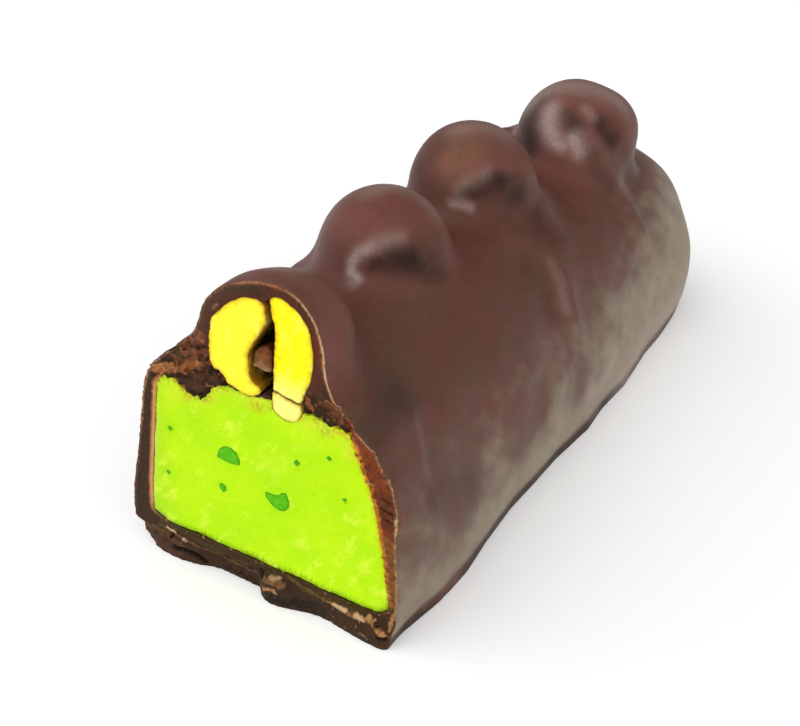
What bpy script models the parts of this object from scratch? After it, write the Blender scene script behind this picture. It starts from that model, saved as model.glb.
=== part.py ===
"""A chocolate-coated marzipan bar with a row of hazelnuts on it, cut across its first nut.

X runs across the bar, Y from the cut to the closed end, Z up from the flat base. Sizes are in
millimetres and are turned into metres when the meshes are made.
"""

import math

import bmesh
import bpy
import numpy as np

METRES = 0.001

# Driving dimensions
BAR_LENGTH = 98.5
CLEARANCE = 0.3
AXIS_HEIGHT = 19.0
# The point of the base that becomes the origin: (x, y)
BASE_MIDDLE = (-0.085, 48.66)
END_WALL = 2.6

# The bar's outline across, without its nuts: (x, z), anticlockwise as seen from the cut. It runs on
# below the base, which is cut off flat at z = 0.
BODY_CORNERS = np.array([
    (-16.4, 0.0), (-16.4, -20.0), (16.2, -20.0), (16.2, 0.0), (16.6, 1.6), (17.4, 3.0),
    (17.8, 8.0), (17.5, 14.5), (16.6, 19.3), (14.1, 25.0), (10.0, 29.4), (3.0, 31.2),
    (-5.0, 31.0), (-8.8, 30.2), (-11.4, 28.3), (-14.0, 25.5), (-15.6, 20.3), (-17.4, 12.5),
    (-18.2, 5.0), (-17.6, 2.0),
])

# The coating's outline at the cut itself, its nut included: (x, z)
CUT_CORNERS = np.array([
    (-15.8, 0.0), (-15.8, -20.0), (16.4, -20.0), (16.4, 0.0), (16.8, 1.6), (17.2, 3.5), (17.35, 7.8),
    (17.2, 11.0), (17.05, 14.0), (17.2, 16.0), (17.35, 17.4), (17.1, 18.9), (16.8, 20.4), (16.4, 21.5),
    (15.4, 22.9), (14.9, 23.9), (14.2, 25.0), (13.5, 25.4), (12.8, 26.0), (12.1, 26.5), (11.4, 27.2),
    (10.8, 28.0), (10.2, 28.6), (9.6, 29.3), (8.9, 31.0), (8.65, 32.3), (8.6, 33.6), (8.4, 35.1),
    (8.1, 36.2), (7.8, 37.1), (7.2, 38.1), (6.5, 38.9), (5.7, 39.6), (4.6, 40.1), (3.4, 40.3),
    (2.3, 40.3), (1.1, 40.2), (0.0, 39.95), (-1.3, 39.5), (-2.7, 38.9), (-3.6, 38.3), (-4.7, 37.4),
    (-5.5, 36.5), (-6.1, 35.7), (-6.5, 34.8), (-6.7, 34.1), (-7.0, 33.3), (-7.3, 32.6), (-7.8, 31.7),
    (-8.4, 31.0), (-8.9, 30.6), (-9.7, 29.9), (-10.4, 29.1), (-11.0, 28.5), (-12.0, 27.8),
    (-12.7, 27.1), (-14.0, 25.8), (-14.5, 24.8), (-15.1, 23.4), (-15.5, 21.9), (-15.7, 20.6),
    (-17.05, 13.3), (-18.1, 8.7), (-18.4, 6.4), (-18.5, 4.6), (-18.4, 3.5), (-18.0, 3.0), (-17.5, 2.6),
    (-17.6, 1.6), (-17.0, 1.1), (-16.0, 0.3),
])
CUT_REACH = 4.0
BELOW_BASE = 7.0

# The closed end is upright up to a height, then curves back, and its edges are well rounded
END_UPRIGHT = 10.0
END_CURVE = 0.024
END_ROUNDING = 19.0
END_CENTRE = 76.0

# Coated hazelnuts: centre and radii, each (x, y, z)
LUMPS = (
    ((1.5, 1.3, 32.3), (8.0, 9.4, 7.8)),
    ((-0.95, 27.1, 31.1), (7.85, 8.1, 7.8)),
    ((-0.5, 47.5, 32.0), (8.0, 8.4, 8.1)),
    ((4.0, 69.0, 31.5), (8.0, 8.6, 8.2)),
    ((6.3, 74.6, 32.9), (3.9, 3.4, 3.9)),
)
LUMP_BLEND = 3.0

# Foot of each side wall: how far it stands out from the outline, (y, amount)
RIGHT_FOOT = (
    (0.0, 0.0), (3.0, 0.3), (9.0, 1.0), (15.4, 1.1), (21.0, 0.5), (28.5, 0.1), (35.0, 0.3), (41.0, 0.4),
    (49.7, 1.2), (55.2, 0.8), (62.3, 1.1), (72.4, 0.3), (81.0, 0.3), (91.0, 0.6), (98.0, 0.2),
)
LEFT_FOOT = (
    (0.0, 0.1), (7.0, 0.9), (14.0, 0.6), (24.0, 0.2), (33.0, 0.9), (44.0, 1.2), (54.0, 0.4), (66.0, 0.9),
    (76.0, 1.1), (88.0, 0.3), (98.0, 0.4),
)
FOOT_HEIGHT = 6.5

# Folds in the coating, as lines of (x, y, z), each with its width and its height, negative for a groove
FOLDS = (
    (((15.5, 84.0, 12.0), (15.0, 89.0, 3.0)), 5.0, 1.2),
    (((8.5, 63.5, 35.0), (11.6, 65.9, 29.5), (13.8, 66.9, 25.3), (16.0, 68.3, 20.7),
      (17.5, 69.0, 15.0)), 1.7, 0.7),
    (((12.5, 69.5, 28.0), (15.5, 71.5, 22.0), (17.3, 72.0, 15.0)), 2.0, -0.4),
    (((7.0, 53.0, 33.0), (9.1, 50.6, 29.8), (11.9, 48.1, 27.4)), 1.8, 0.6),
    (((8.5, 42.0, 30.5), (13.0, 44.5, 26.2), (14.7, 44.5, 23.7), (16.3, 44.0, 20.0)), 1.6, 0.55),
    (((13.2, 40.0, 26.0), (15.0, 40.8, 23.5)), 2.4, -0.5),
    (((16.5, 45.0, 19.5), (17.7, 46.3, 11.0)), 1.5, 0.3),
    (((17.0, 54.0, 18.5), (17.8, 55.2, 10.0)), 1.5, 0.3),
    (((13.9, 7.9, 25.0), (16.5, 6.6, 19.5), (17.8, 7.7, 9.0)), 1.0, 0.25),
    (((17.2, 14.0, 17.0), (17.8, 15.5, 8.0)), 1.8, -0.25),
    (((17.8, 33.0, 14.0), (17.8, 35.0, 9.0)), 3.5, -0.3),
    (((17.6, 71.5, 12.5), (17.7, 71.7, 10.0)), 1.1, -0.35),
    (((4.2, 21.0, 33.2), (5.4, 22.2, 33.6)), 2.1, -1.1),
    (((1.4, 39.2, 33.6), (4.0, 41.4, 35.2)), 1.0, -0.6),
    (((5.9, 42.4, 34.2), (7.3, 44.4, 33.6)), 2.2, -1.1),
    (((5.0, 62.6, 36.8), (5.4, 63.2, 35.6)), 1.6, -0.8),
    (((10.2, 66.0, 35.0), (10.8, 67.0, 33.0)), 2.2, -0.9),
    (((-7.5, 25.0, 31.5), (-12.0, 24.0, 27.5), (-15.5, 23.0, 20.0)), 1.8, 0.5),
    (((-7.0, 48.5, 32.5), (-11.5, 50.0, 28.0), (-15.5, 50.5, 20.5), (-17.3, 51.0, 13.0)), 1.7, 0.6),
    (((-3.5, 70.0, 33.0), (-10.0, 71.5, 29.0), (-15.0, 71.0, 21.5)), 2.0, 0.5),
    (((-14.0, 36.0, 25.0), (-16.5, 37.0, 16.0)), 2.4, -0.4),
    (((-13.0, 61.0, 26.5), (-16.5, 61.5, 16.0)), 2.6, -0.4),
)

# Slow waves over the whole coating: (x, y, z) turns per millimetre, phase, height
WAVES = (
    ((0.021, 0.043, 0.031), 0.7, 0.16), ((-0.047, 0.027, 0.052), 2.1, 0.12),
    ((0.062, -0.071, 0.035), 4.4, 0.08), ((0.033, 0.095, -0.064), 5.2, 0.06),
)

# The marzipan's outline at the cut: (x, z), anticlockwise as seen from the cut
MARZIPAN_CORNERS = (
    (-13.2, 4.6), (-8.9, 4.6), (-1.9, 4.4), (4.9, 4.3), (10.1, 4.0), (14.9, 4.1), (16.2, 5.1),
    (15.4, 11.7), (14.4, 17.7), (12.8, 22.1), (11.4, 25.6), (9.1, 25.9), (6.7, 26.2), (4.2, 26.4),
    (2.0, 26.7), (0.1, 26.4), (-1.2, 26.1), (-3.7, 26.3), (-5.0, 26.1), (-5.7, 25.4), (-6.5, 24.3),
    (-7.2, 23.5), (-8.2, 23.3), (-9.3, 23.6), (-10.2, 24.1), (-11.1, 24.8), (-12.0, 24.7),
    (-13.2, 24.2), (-14.4, 15.6), (-15.2, 9.8), (-15.5, 5.6),
)
MARZIPAN_MIDDLE = (0.0, 15.0)
# The rings of its closed end, each shrunk about the middle
MARZIPAN_END_RINGS = (1.0, 0.96, 0.9, 0.8, 0.65, 0.45)
# Along the base the coating broke unevenly: how far its foot stands out from the cut, (x, amount)
LIP = (
    (-17.5, -0.4), (-16.0, -0.2), (-14.5, 0.2), (-13.0, 0.35), (-11.5, 0.35), (-10.0, 0.15), (-9.0, -0.1),
    (-7.8, -0.55), (-6.6, -0.75), (-2.8, -0.6), (-1.1, -0.55), (-0.4, 0.25), (0.5, 0.9), (1.6, 1.15),
    (2.8, 1.0), (3.9, 0.75), (5.0, 0.45), (6.2, 0.15), (7.4, 0.0), (8.7, 0.05), (10.3, 0.35), (11.7, 0.55),
    (13.1, 0.75), (14.4, 0.85), (15.5, 0.9), (16.0, 0.8), (16.5, 0.4),
)
LIP_HEIGHT = 3.2
LIP_STEP = 0.5

# Pistachio bits that stand a little out of the cut marzipan: (x, z, radius)
PISTACHIO_BITS = (
    (-4.1, 17.4, 1.15), (2.2, 14.1, 1.2), (-5.1, 12.8, 0.45), (-11.9, 18.2, 0.3),
    (-12.8, 11.9, 0.3), (4.9, 20.0, 0.4), (8.9, 22.0, 0.3), (10.7, 17.5, 0.35),
)
BIT_HEIGHT = 0.25

# The cut nut: outlines (x, z) of its two halves, of the chip under them and of the chocolate between
LEFT_HALF = (
    (-5.3, 34.1), (-5.7, 31.6), (-5.8, 30.2), (-5.7, 29.0), (-5.3, 28.1), (-4.7, 28.1), (-4.1, 27.7),
    (-3.6, 26.8), (-2.8, 26.6), (-1.7, 26.2), (-0.7, 26.2), (0.1, 26.6), (0.6, 27.2), (0.5, 27.7),
    (-0.2, 27.8), (-0.6, 28.3), (-0.9, 29.4), (-0.8, 31.3), (-0.4, 32.2), (0.6, 33.9), (1.4, 35.2),
    (1.6, 36.0), (1.4, 37.5), (0.6, 38.0), (-1.0, 37.8), (-2.8, 36.7), (-4.4, 35.1),
)
RIGHT_HALF = (
    (2.2, 38.3), (2.3, 36.6), (2.6, 35.7), (2.7, 34.6), (2.4, 31.3), (2.2, 28.5), (2.7, 28.4),
    (3.6, 28.0), (4.4, 27.7), (5.2, 27.6), (5.5, 27.4), (5.8, 28.4), (6.8, 30.3), (7.2, 32.7),
    (7.2, 34.0), (6.8, 36.4), (5.7, 37.9), (4.1, 38.8), (3.2, 39.0), (2.5, 38.8),
)
CHIP = (
    (2.1, 27.6), (2.1, 25.4), (2.7, 25.1), (3.7, 24.8), (4.3, 24.8), (5.3, 25.4), (5.6, 26.4),
    (5.4, 26.9), (4.6, 27.0), (3.8, 27.2), (2.9, 27.6),
)
SHARD = (
    (-0.5, 29.7), (-0.5, 30.8), (-0.1, 31.8), (0.5, 32.4), (1.4, 32.8), (2.0, 32.2), (1.9, 29.7),
    (1.1, 29.4), (0.2, 29.7),
)
# The hollow that holds them all, and what they shrink towards as they go back: (y, shrink)
NUT_HOLLOW = (
    (-5.3, 34.1), (-5.7, 31.6), (-5.8, 30.2), (-5.7, 29.0), (-5.3, 28.1), (-4.7, 28.1), (-4.1, 27.7),
    (-3.6, 26.8), (-2.8, 26.6), (-1.7, 26.2), (-0.7, 26.2), (0.1, 26.6), (1.0, 27.0), (1.9, 27.3),
    (2.0, 25.4), (2.7, 25.0), (3.7, 24.7), (4.4, 24.8), (5.4, 25.4), (5.8, 26.5), (5.9, 28.4),
    (6.8, 30.3), (7.2, 32.7), (7.2, 34.0), (6.8, 36.4), (5.7, 37.9), (4.1, 38.8), (3.2, 39.0),
    (2.5, 38.8), (1.8, 38.1), (1.3, 37.8), (0.6, 38.0), (-1.0, 37.8), (-2.8, 36.7), (-4.4, 35.1),
)
NUT_MIDDLE = (0.7, 31.6)
NUT_STATIONS = ((0.0, 1.0), (2.4, 1.0), (4.8, 0.94), (6.9, 0.8), (8.4, 0.58), (9.2, 0.36))
SHARD_STATIONS = ((0.25, 1.0), (2.0, 0.95), (2.8, 0.7))


def smooth_min(a, b, width):
    """The smaller of two fields, blended over width."""
    share = np.clip(width - np.abs(a - b), 0, None) / width
    return np.minimum(a, b) - share * share * width / 4


def smooth_max(a, b, width):
    return -smooth_min(-a, -b, width)


def polygon_distance(x, z, corners):
    """Signed distance to a closed polygon, negative inside."""
    nearest = np.full(np.shape(x), np.inf)
    inside = np.zeros(np.shape(x), bool)
    for (ax, az), (bx, bz) in zip(corners, np.roll(corners, -1, axis=0)):
        ex, ez = bx - ax, bz - az
        share = np.clip(((x - ax) * ex + (z - az) * ez) / (ex * ex + ez * ez), 0, 1)
        nearest = np.minimum(nearest, (x - ax - share * ex) ** 2 + (z - az - share * ez) ** 2)
        crosses = (az > z) != (bz > z)
        inside ^= crosses & (x < ax + (z - az) / (bz - az + 1e-12) * ex)
    return np.sqrt(nearest) * np.where(inside, -1, 1)


def softened(corners, step=1.6, passes=8):
    """The same closed outline with rounder corners."""
    closed = np.vstack([corners, corners[:1]])
    marks = np.concatenate([[0], np.cumsum(np.linalg.norm(np.diff(closed, axis=0), axis=1))])
    places = np.linspace(0, marks[-1], int(marks[-1] / step), endpoint=False)
    points = np.stack([np.interp(places, marks, closed[:, k]) for k in (0, 1)], axis=1)
    for _ in range(passes):
        points = 0.5 * points + 0.25 * (np.roll(points, 1, axis=0) + np.roll(points, -1, axis=0))
    return points


# Behind the cut the coating has flowed round, with no corners left
FLOWED_CORNERS = softened(BODY_CORNERS)
FLOWED_FROM, FLOWED_OVER = 3.0, 9.0


def fold_height(x, y, z):
    """How far the folds and waves push the coating outwards."""
    height = sum(h * np.sin(2 * math.pi * (x * a + y * b + z * c) + p) for (a, b, c), p, h in WAVES)
    height = height * np.clip(z / 4, 0, 1)
    for line, width, amount in FOLDS:
        nearest = np.full(np.shape(x), np.inf)
        for start, end in zip(line, line[1:]):
            way = np.subtract(end, start)
            along = [p - c for p, c in zip((x, y, z), start)]
            share = np.clip(sum(a * w for a, w in zip(along, way)) / (way @ way), 0, 1)
            nearest = np.minimum(nearest, sum((a - w * share) ** 2 for a, w in zip(along, way)))
        height = height + amount * np.exp(-nearest / width ** 2)
    return height * np.clip(y / CUT_REACH, 0, 1)


def end_setback(z):
    """How far the closed end has curved back at a height."""
    return END_CURVE * np.clip(z - END_UPRIGHT, 0, 24) ** 2


def body_field(x, y, z):
    """Negative inside the bar without its nuts."""
    foot = np.clip(1 - z / FOOT_HEIGHT, 0, 1)
    right = np.interp(y, *np.transpose(RIGHT_FOOT)) * foot
    left = np.interp(y, *np.transpose(LEFT_FOOT)) * foot
    across = np.where(x > 0, x - right, x + left)
    flowed = np.clip((y - FLOWED_FROM) / FLOWED_OVER, 0, 1)
    section = polygon_distance(across, z, BODY_CORNERS) * (1 - flowed)
    section = section + polygon_distance(across, z, FLOWED_CORNERS) * flowed
    wall = (y - BAR_LENGTH + end_setback(z)) * 0.85
    return smooth_max(section, wall, END_ROUNDING)


def lump_field(x, y, z, centre, radii):
    scaled = [(p - c) / r for p, c, r in zip((x, y, z), centre, radii)]
    return (np.sqrt(sum(s * s for s in scaled)) - 1) * min(radii)


def coating_field(x, y, z):
    """Negative inside the whole coated bar, before its folds."""
    field = body_field(x, y, z)
    for centre, radii in LUMPS:
        field = smooth_min(field, lump_field(x, y, z, centre, radii), LUMP_BLEND)
    near = np.clip(1 - y / CUT_REACH, 0, 1)
    near = near * near * (3 - 2 * near)
    return field * (1 - near) + polygon_distance(x, z, CUT_CORNERS) * near


def traced(origins, ways):
    """The outermost point of the coating along each ray from the bar's axis."""
    floor = (origins[:, 2] + BELOW_BASE) / np.clip(-ways[:, 2], 1e-6, None)
    reach = np.full(len(origins), 45.0)
    for _ in range(60):
        reach -= 0.9 * coating_field(*(origins + ways * reach[:, None]).T)
    reach += fold_height(*(origins + ways * reach[:, None]).T)
    return origins + ways * np.minimum(reach, floor)[:, None]


def cut_relief(x, z):
    """How far the cut stands off its plane, negative towards the viewer of the cut."""
    lip = np.interp(x, *np.transpose(LIP))
    return -lip * np.clip((LIP_HEIGHT - z) / LIP_STEP, 0, 1)


def ring_angles(count):
    return np.linspace(-math.pi, math.pi, count, endpoint=False) - math.pi / 2


def coating_mesh(around, along, over, inward):
    """Vertices and faces of the solid coated bar, before anything is cut from it."""
    angles = ring_angles(around)
    spokes = np.stack([np.cos(angles), np.zeros(around), np.sin(angles)], axis=1)
    rings = []
    outline = traced(np.tile((0, 0, AXIS_HEIGHT), (around, 1)), spokes)
    outline[:, 1] = cut_relief(outline[:, 0], outline[:, 2])
    for share in inward:
        ring = (0, 0, AXIS_HEIGHT) + (outline - (0, 0, AXIS_HEIGHT)) * share
        ring[:, 1] = cut_relief(ring[:, 0], ring[:, 2])
        rings.append(ring)
    rings.append(outline)
    for y in along:
        rings.append(traced(np.tile((0, y, AXIS_HEIGHT), (around, 1)), spokes))
    for tilt in over:
        ways = spokes * math.cos(tilt) + np.array((0, math.sin(tilt), 0))
        rings.append(traced(np.tile((0, END_CENTRE, AXIS_HEIGHT), (around, 1)), ways))
    tip = traced(np.array([(0, END_CENTRE, AXIS_HEIGHT)], float), np.array([(0, 1, 0)], float))
    first = np.array([(0, 0, AXIS_HEIGHT)], float)
    points = np.concatenate([first] + rings + [tip])
    faces = []
    for i in range(around):
        j = (i + 1) % around
        faces.append((0, 1 + i, 1 + j))
        for r in range(len(rings) - 1):
            a, b = 1 + r * around, 1 + (r + 1) * around
            faces.append((a + i, b + i, b + j, a + j))
        last = 1 + (len(rings) - 1) * around
        faces.append((last + i, len(points) - 1, last + j))
    return points, faces


def made(name, points, faces, helper=False, flat_base=False):
    """An object from points in millimetres, closed flat at z = 0 if asked."""
    mesh = bpy.data.meshes.new(name)
    mesh.from_pydata((np.asarray(points) * METRES).tolist(), [], faces)
    body = bmesh.new()
    body.from_mesh(mesh)
    if flat_base:
        everything = body.verts[:] + body.edges[:] + body.faces[:]
        bmesh.ops.bisect_plane(
            body, geom=everything, dist=1e-6, plane_co=(0, 0, 0), plane_no=(0, 0, -1), clear_outer=True)
        rim = [edge for edge in body.edges if edge.is_boundary]
        bmesh.ops.triangle_fill(body, edges=rim, use_beauty=True)
    bmesh.ops.recalc_face_normals(body, faces=body.faces)
    bmesh.ops.triangulate(body, faces=body.faces)
    body.to_mesh(mesh)
    body.free()
    obj = bpy.data.objects.new(name, mesh)
    bpy.context.scene.collection.objects.link(obj)
    obj.hide_render = helper
    return obj


def cut(obj, cutter):
    modifier = obj.modifiers.new(cutter.name, "BOOLEAN")
    modifier.operation = "DIFFERENCE"
    modifier.solver = "EXACT"
    modifier.object = cutter


def joined(obj, other):
    modifier = obj.modifiers.new(other.name, "BOOLEAN")
    modifier.operation = "UNION"
    modifier.solver = "EXACT"
    modifier.object = other


def grown(corners, amount):
    """A closed outline moved outwards by amount."""
    corners = np.asarray(corners, float)
    before = corners - np.roll(corners, 1, axis=0)
    after = np.roll(corners, -1, axis=0) - corners
    normals = []
    for edge in (before, after):
        length = np.linalg.norm(edge, axis=1, keepdims=True)
        normals.append(np.stack([edge[:, 1], -edge[:, 0]], axis=1) / length)
    middle = normals[0] + normals[1]
    middle /= np.clip((middle * normals[0]).sum(axis=1, keepdims=True), 0.6, None)
    return corners + middle * amount


def prism(corners, stations, centre):
    """A closed solid of one outline at several (y, shrink) stations, shrunk about a centre."""
    corners = np.asarray(corners, float)
    centre = np.asarray(centre, float)
    count = len(corners)
    points = []
    for y, shrink in stations:
        for x, z in centre + (corners - centre) * shrink:
            points.append((x, y, z))
    faces = [tuple(range(count)), tuple(range(len(points) - count, len(points)))[::-1]]
    for r in range(len(stations) - 1):
        a, b = r * count, (r + 1) * count
        for i in range(count):
            j = (i + 1) % count
            faces.append((a + i, b + i, b + j, a + j))
    return points, faces


def filling(front, extra):
    """The marzipan, whose closed end stays a wall's thickness inside the coating, with extra all round."""
    stations = [(front, 1.0)] + [(0.0, shrink) for shrink in MARZIPAN_END_RINGS]
    bare = np.array(prism(MARZIPAN_CORNERS, stations, MARZIPAN_MIDDLE)[0])[len(MARZIPAN_CORNERS):]
    low, high = np.full(len(bare), 60.0), np.full(len(bare), 100.0)
    limit = np.maximum(-END_WALL, 0.85 * body_field(bare[:, 0], low, bare[:, 2]))
    for _ in range(24):
        middle = (low + high) / 2
        inside = body_field(bare[:, 0], middle, bare[:, 2]) < limit
        low, high = np.where(inside, middle, low), np.where(inside, high, middle)
    points, faces = prism(grown(MARZIPAN_CORNERS, extra), stations, MARZIPAN_MIDDLE)
    points = np.array(points)
    points[len(MARZIPAN_CORNERS):, 1] = low + extra
    return points, faces


def ball(centre, radii, around=10, up=6):
    """A closed ellipsoid whose poles are on Y."""
    points = [(centre[0], centre[1] - radii[1], centre[2])]
    for r in range(1, up):
        tilt = math.pi * r / up
        for i in range(around):
            turn = 2 * math.pi * i / around
            points.append((
                centre[0] + radii[0] * math.sin(tilt) * math.cos(turn),
                centre[1] - radii[1] * math.cos(tilt),
                centre[2] + radii[2] * math.sin(tilt) * math.sin(turn),
            ))
    points.append((centre[0], centre[1] + radii[1], centre[2]))
    faces = []
    for i in range(around):
        j = (i + 1) % around
        faces.append((0, 1 + i, 1 + j))
        for r in range(up - 2):
            a, b = 1 + r * around, 1 + (r + 1) * around
            faces.append((a + i, b + i, b + j, a + j))
        last = 1 + (up - 2) * around
        faces.append((last + i, len(points) - 1, last + j))
    return points, faces


def build():
    for old in list(bpy.data.objects):
        bpy.data.objects.remove(old)

    coating = made("chocolate_coating", *coating_mesh(
        72,
        np.concatenate([[0.9, 2.4], np.linspace(4.2, END_CENTRE, 56)]),
        np.radians([8, 17, 26, 35, 44, 53, 62, 71, 80]),
        (0.1, 0.35, 0.575, 0.6, 0.635, 0.68, 0.735, 0.87),
    ), flat_base=True)

    marzipan = made("marzipan", *filling(0.0, 0.0))

    halves = [
        made("hazelnut_half_left", *prism(LEFT_HALF, NUT_STATIONS, NUT_MIDDLE)),
        made("hazelnut_half_right", *prism(RIGHT_HALF, NUT_STATIONS, NUT_MIDDLE)),
        made("hazelnut_chip", *prism(CHIP, NUT_STATIONS, NUT_MIDDLE)),
    ]
    shard = made("chocolate_shard", *prism(SHARD, SHARD_STATIONS, NUT_MIDDLE))

    filling_room = made("filling_room", *filling(-5.0, CLEARANCE), helper=True)
    nut_room = made("nut_room", *prism(
        grown(NUT_HOLLOW, CLEARANCE),
        ((-5.0, 1.0),) + NUT_STATIONS[1:-1] + ((NUT_STATIONS[-1][0] + CLEARANCE, 0.36),),
        NUT_MIDDLE,
    ), helper=True)
    cut(coating, filling_room)
    cut(coating, nut_room)
    cut(marzipan, nut_room)
    for number, (x, z, radius) in enumerate(PISTACHIO_BITS):
        across = radius * 1.15
        bump = made(f"bump_{number}", *ball((x, 0.3, z), (across, 0.3 + BIT_HEIGHT, across)), helper=True)
        joined(marzipan, bump)

    for obj in bpy.context.scene.collection.objects:
        obj.location = (-BASE_MIDDLE[0] * METRES, -BASE_MIDDLE[1] * METRES, 0)


if __name__ == "__main__":
    build()
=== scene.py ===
"""Looks of the chocolate-coated marzipan bar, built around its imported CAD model.

X runs across the bar, Y from the cut to the closed end, Z up. Shapes are worked out in the same
millimetre frame as in the CAD source, and moved to the model's origin when the meshes are made.
"""

import math

import bmesh
import bpy
import numpy as np
from mathutils import Matrix, Vector
from mathutils.geometry import delaunay_2d_cdt


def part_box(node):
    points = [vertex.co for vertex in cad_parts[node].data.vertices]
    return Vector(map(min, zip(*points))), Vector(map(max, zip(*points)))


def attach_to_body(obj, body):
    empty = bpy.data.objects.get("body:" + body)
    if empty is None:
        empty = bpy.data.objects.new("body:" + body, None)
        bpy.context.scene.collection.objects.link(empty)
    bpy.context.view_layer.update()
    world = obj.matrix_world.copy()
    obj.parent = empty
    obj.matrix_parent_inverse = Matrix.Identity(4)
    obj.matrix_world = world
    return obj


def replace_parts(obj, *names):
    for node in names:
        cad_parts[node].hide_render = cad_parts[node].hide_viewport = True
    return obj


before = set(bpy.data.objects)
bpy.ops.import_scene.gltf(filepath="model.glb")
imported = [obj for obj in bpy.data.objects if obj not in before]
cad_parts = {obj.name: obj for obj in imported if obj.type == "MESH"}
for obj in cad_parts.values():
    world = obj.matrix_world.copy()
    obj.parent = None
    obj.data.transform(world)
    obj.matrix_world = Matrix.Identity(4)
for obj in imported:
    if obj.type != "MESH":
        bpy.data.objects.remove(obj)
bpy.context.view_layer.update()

METRES = 0.001
AXIS_HEIGHT = 19.0
# The model's origin in the design frame
ORIGIN = np.array((-0.085, 48.66, 0.0))
BELOW_BASE = 7.0

# The bar's outline across, without its nuts: (x, z)
BODY_CORNERS = np.array([
    (-16.4, 0), (-16.4, -20), (16.2, -20), (16.2, 0), (16.6, 1.6), (17.4, 3),
    (17.8, 8), (17.5, 14.5), (16.6, 19.3), (14.1, 25), (10, 29.4), (3, 31.2),
    (-5, 31), (-8.8, 30.2), (-11.4, 28.3), (-14, 25.5), (-15.6, 20.3), (-17.4, 12.5),
    (-18.2, 5), (-17.6, 2),
])
# The coating's outline at the cut itself, its nut included: (x, z)
CUT_CORNERS = np.array([
    (-15.8, 0), (-15.8, -20), (16.4, -20), (16.4, 0), (16.8, 1.6), (17.2, 3.5), (17.35, 7.8),
    (17.2, 11), (17.05, 14), (17.2, 16), (17.35, 17.4), (17.1, 18.9), (16.8, 20.4), (16.4, 21.5),
    (15.4, 22.9), (14.9, 23.9), (14.2, 25), (13.5, 25.4), (12.8, 26), (12.1, 26.5), (11.4, 27.2),
    (10.8, 28), (10.2, 28.6), (9.6, 29.3), (8.9, 31), (8.65, 32.3), (8.6, 33.6), (8.4, 35.1),
    (8.1, 36.2), (7.8, 37.1), (7.2, 38.1), (6.5, 38.9), (5.7, 39.6), (4.6, 40.1), (3.4, 40.3),
    (2.3, 40.3), (1.1, 40.2), (0, 39.95), (-1.3, 39.5), (-2.7, 38.9), (-3.6, 38.3), (-4.7, 37.4),
    (-5.5, 36.5), (-6.1, 35.7), (-6.5, 34.8), (-6.7, 34.1), (-7, 33.3), (-7.3, 32.6), (-7.8, 31.7),
    (-8.4, 31), (-8.9, 30.6), (-9.7, 29.9), (-10.4, 29.1), (-11, 28.5), (-12, 27.8),
    (-12.7, 27.1), (-14, 25.8), (-14.5, 24.8), (-15.1, 23.4), (-15.5, 21.9), (-15.7, 20.6),
    (-17.05, 13.3), (-18.1, 8.7), (-18.4, 6.4), (-18.5, 4.6), (-18.4, 3.5), (-18, 3), (-17.5, 2.6),
    (-17.6, 1.6), (-17, 1.1), (-16, 0.3),
])
CUT_REACH = 4.0
BAR_LENGTH = 98.5
# The closed end: upright low down, then curved back over its rise, and rounded into the sides
END_UPRIGHT = 10.0
END_RISE = 24
END_CURVE = 0.024
END_LEAN = 0.85
END_ROUNDING = 19.0
END_CENTRE = 76.0
# The marzipan stops a wall's thickness inside it, or at this share of a thinner place's depth
END_WALL = 2.6
THIN_SHARE = 0.85
# That end is looked for between these, in so many halvings
FILLING_FROM, FILLING_TO, HALVINGS = 60.0, 100.0, 24

# Coated hazelnuts: centre and radii, each (x, y, z)
LUMPS = (
    ((1.5, 1.3, 32.3), (8, 9.4, 7.8)),
    ((-0.95, 27.1, 31.1), (7.85, 8.1, 7.8)),
    ((-0.5, 47.5, 32), (8, 8.4, 8.1)),
    ((4, 69, 31.5), (8, 8.6, 8.2)),
    ((6.3, 74.6, 32.9), (3.9, 3.4, 3.9)),
)
LUMP_BLEND = 3.0

# Foot of each side wall: how far it stands out from the outline, (y, amount)
RIGHT_FOOT = (
    (0, 0), (3, 0.3), (9, 1), (15.4, 1.1), (21, 0.5), (28.5, 0.1), (35, 0.3), (41, 0.4),
    (49.7, 1.2), (55.2, 0.8), (62.3, 1.1), (72.4, 0.3), (81, 0.3), (91, 0.6), (98, 0.2),
)
LEFT_FOOT = (
    (0, 0.1), (7, 0.9), (14, 0.6), (24, 0.2), (33, 0.9), (44, 1.2), (54, 0.4), (66, 0.9),
    (76, 1.1), (88, 0.3), (98, 0.4),
)
FOOT_HEIGHT = 6.5

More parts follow.
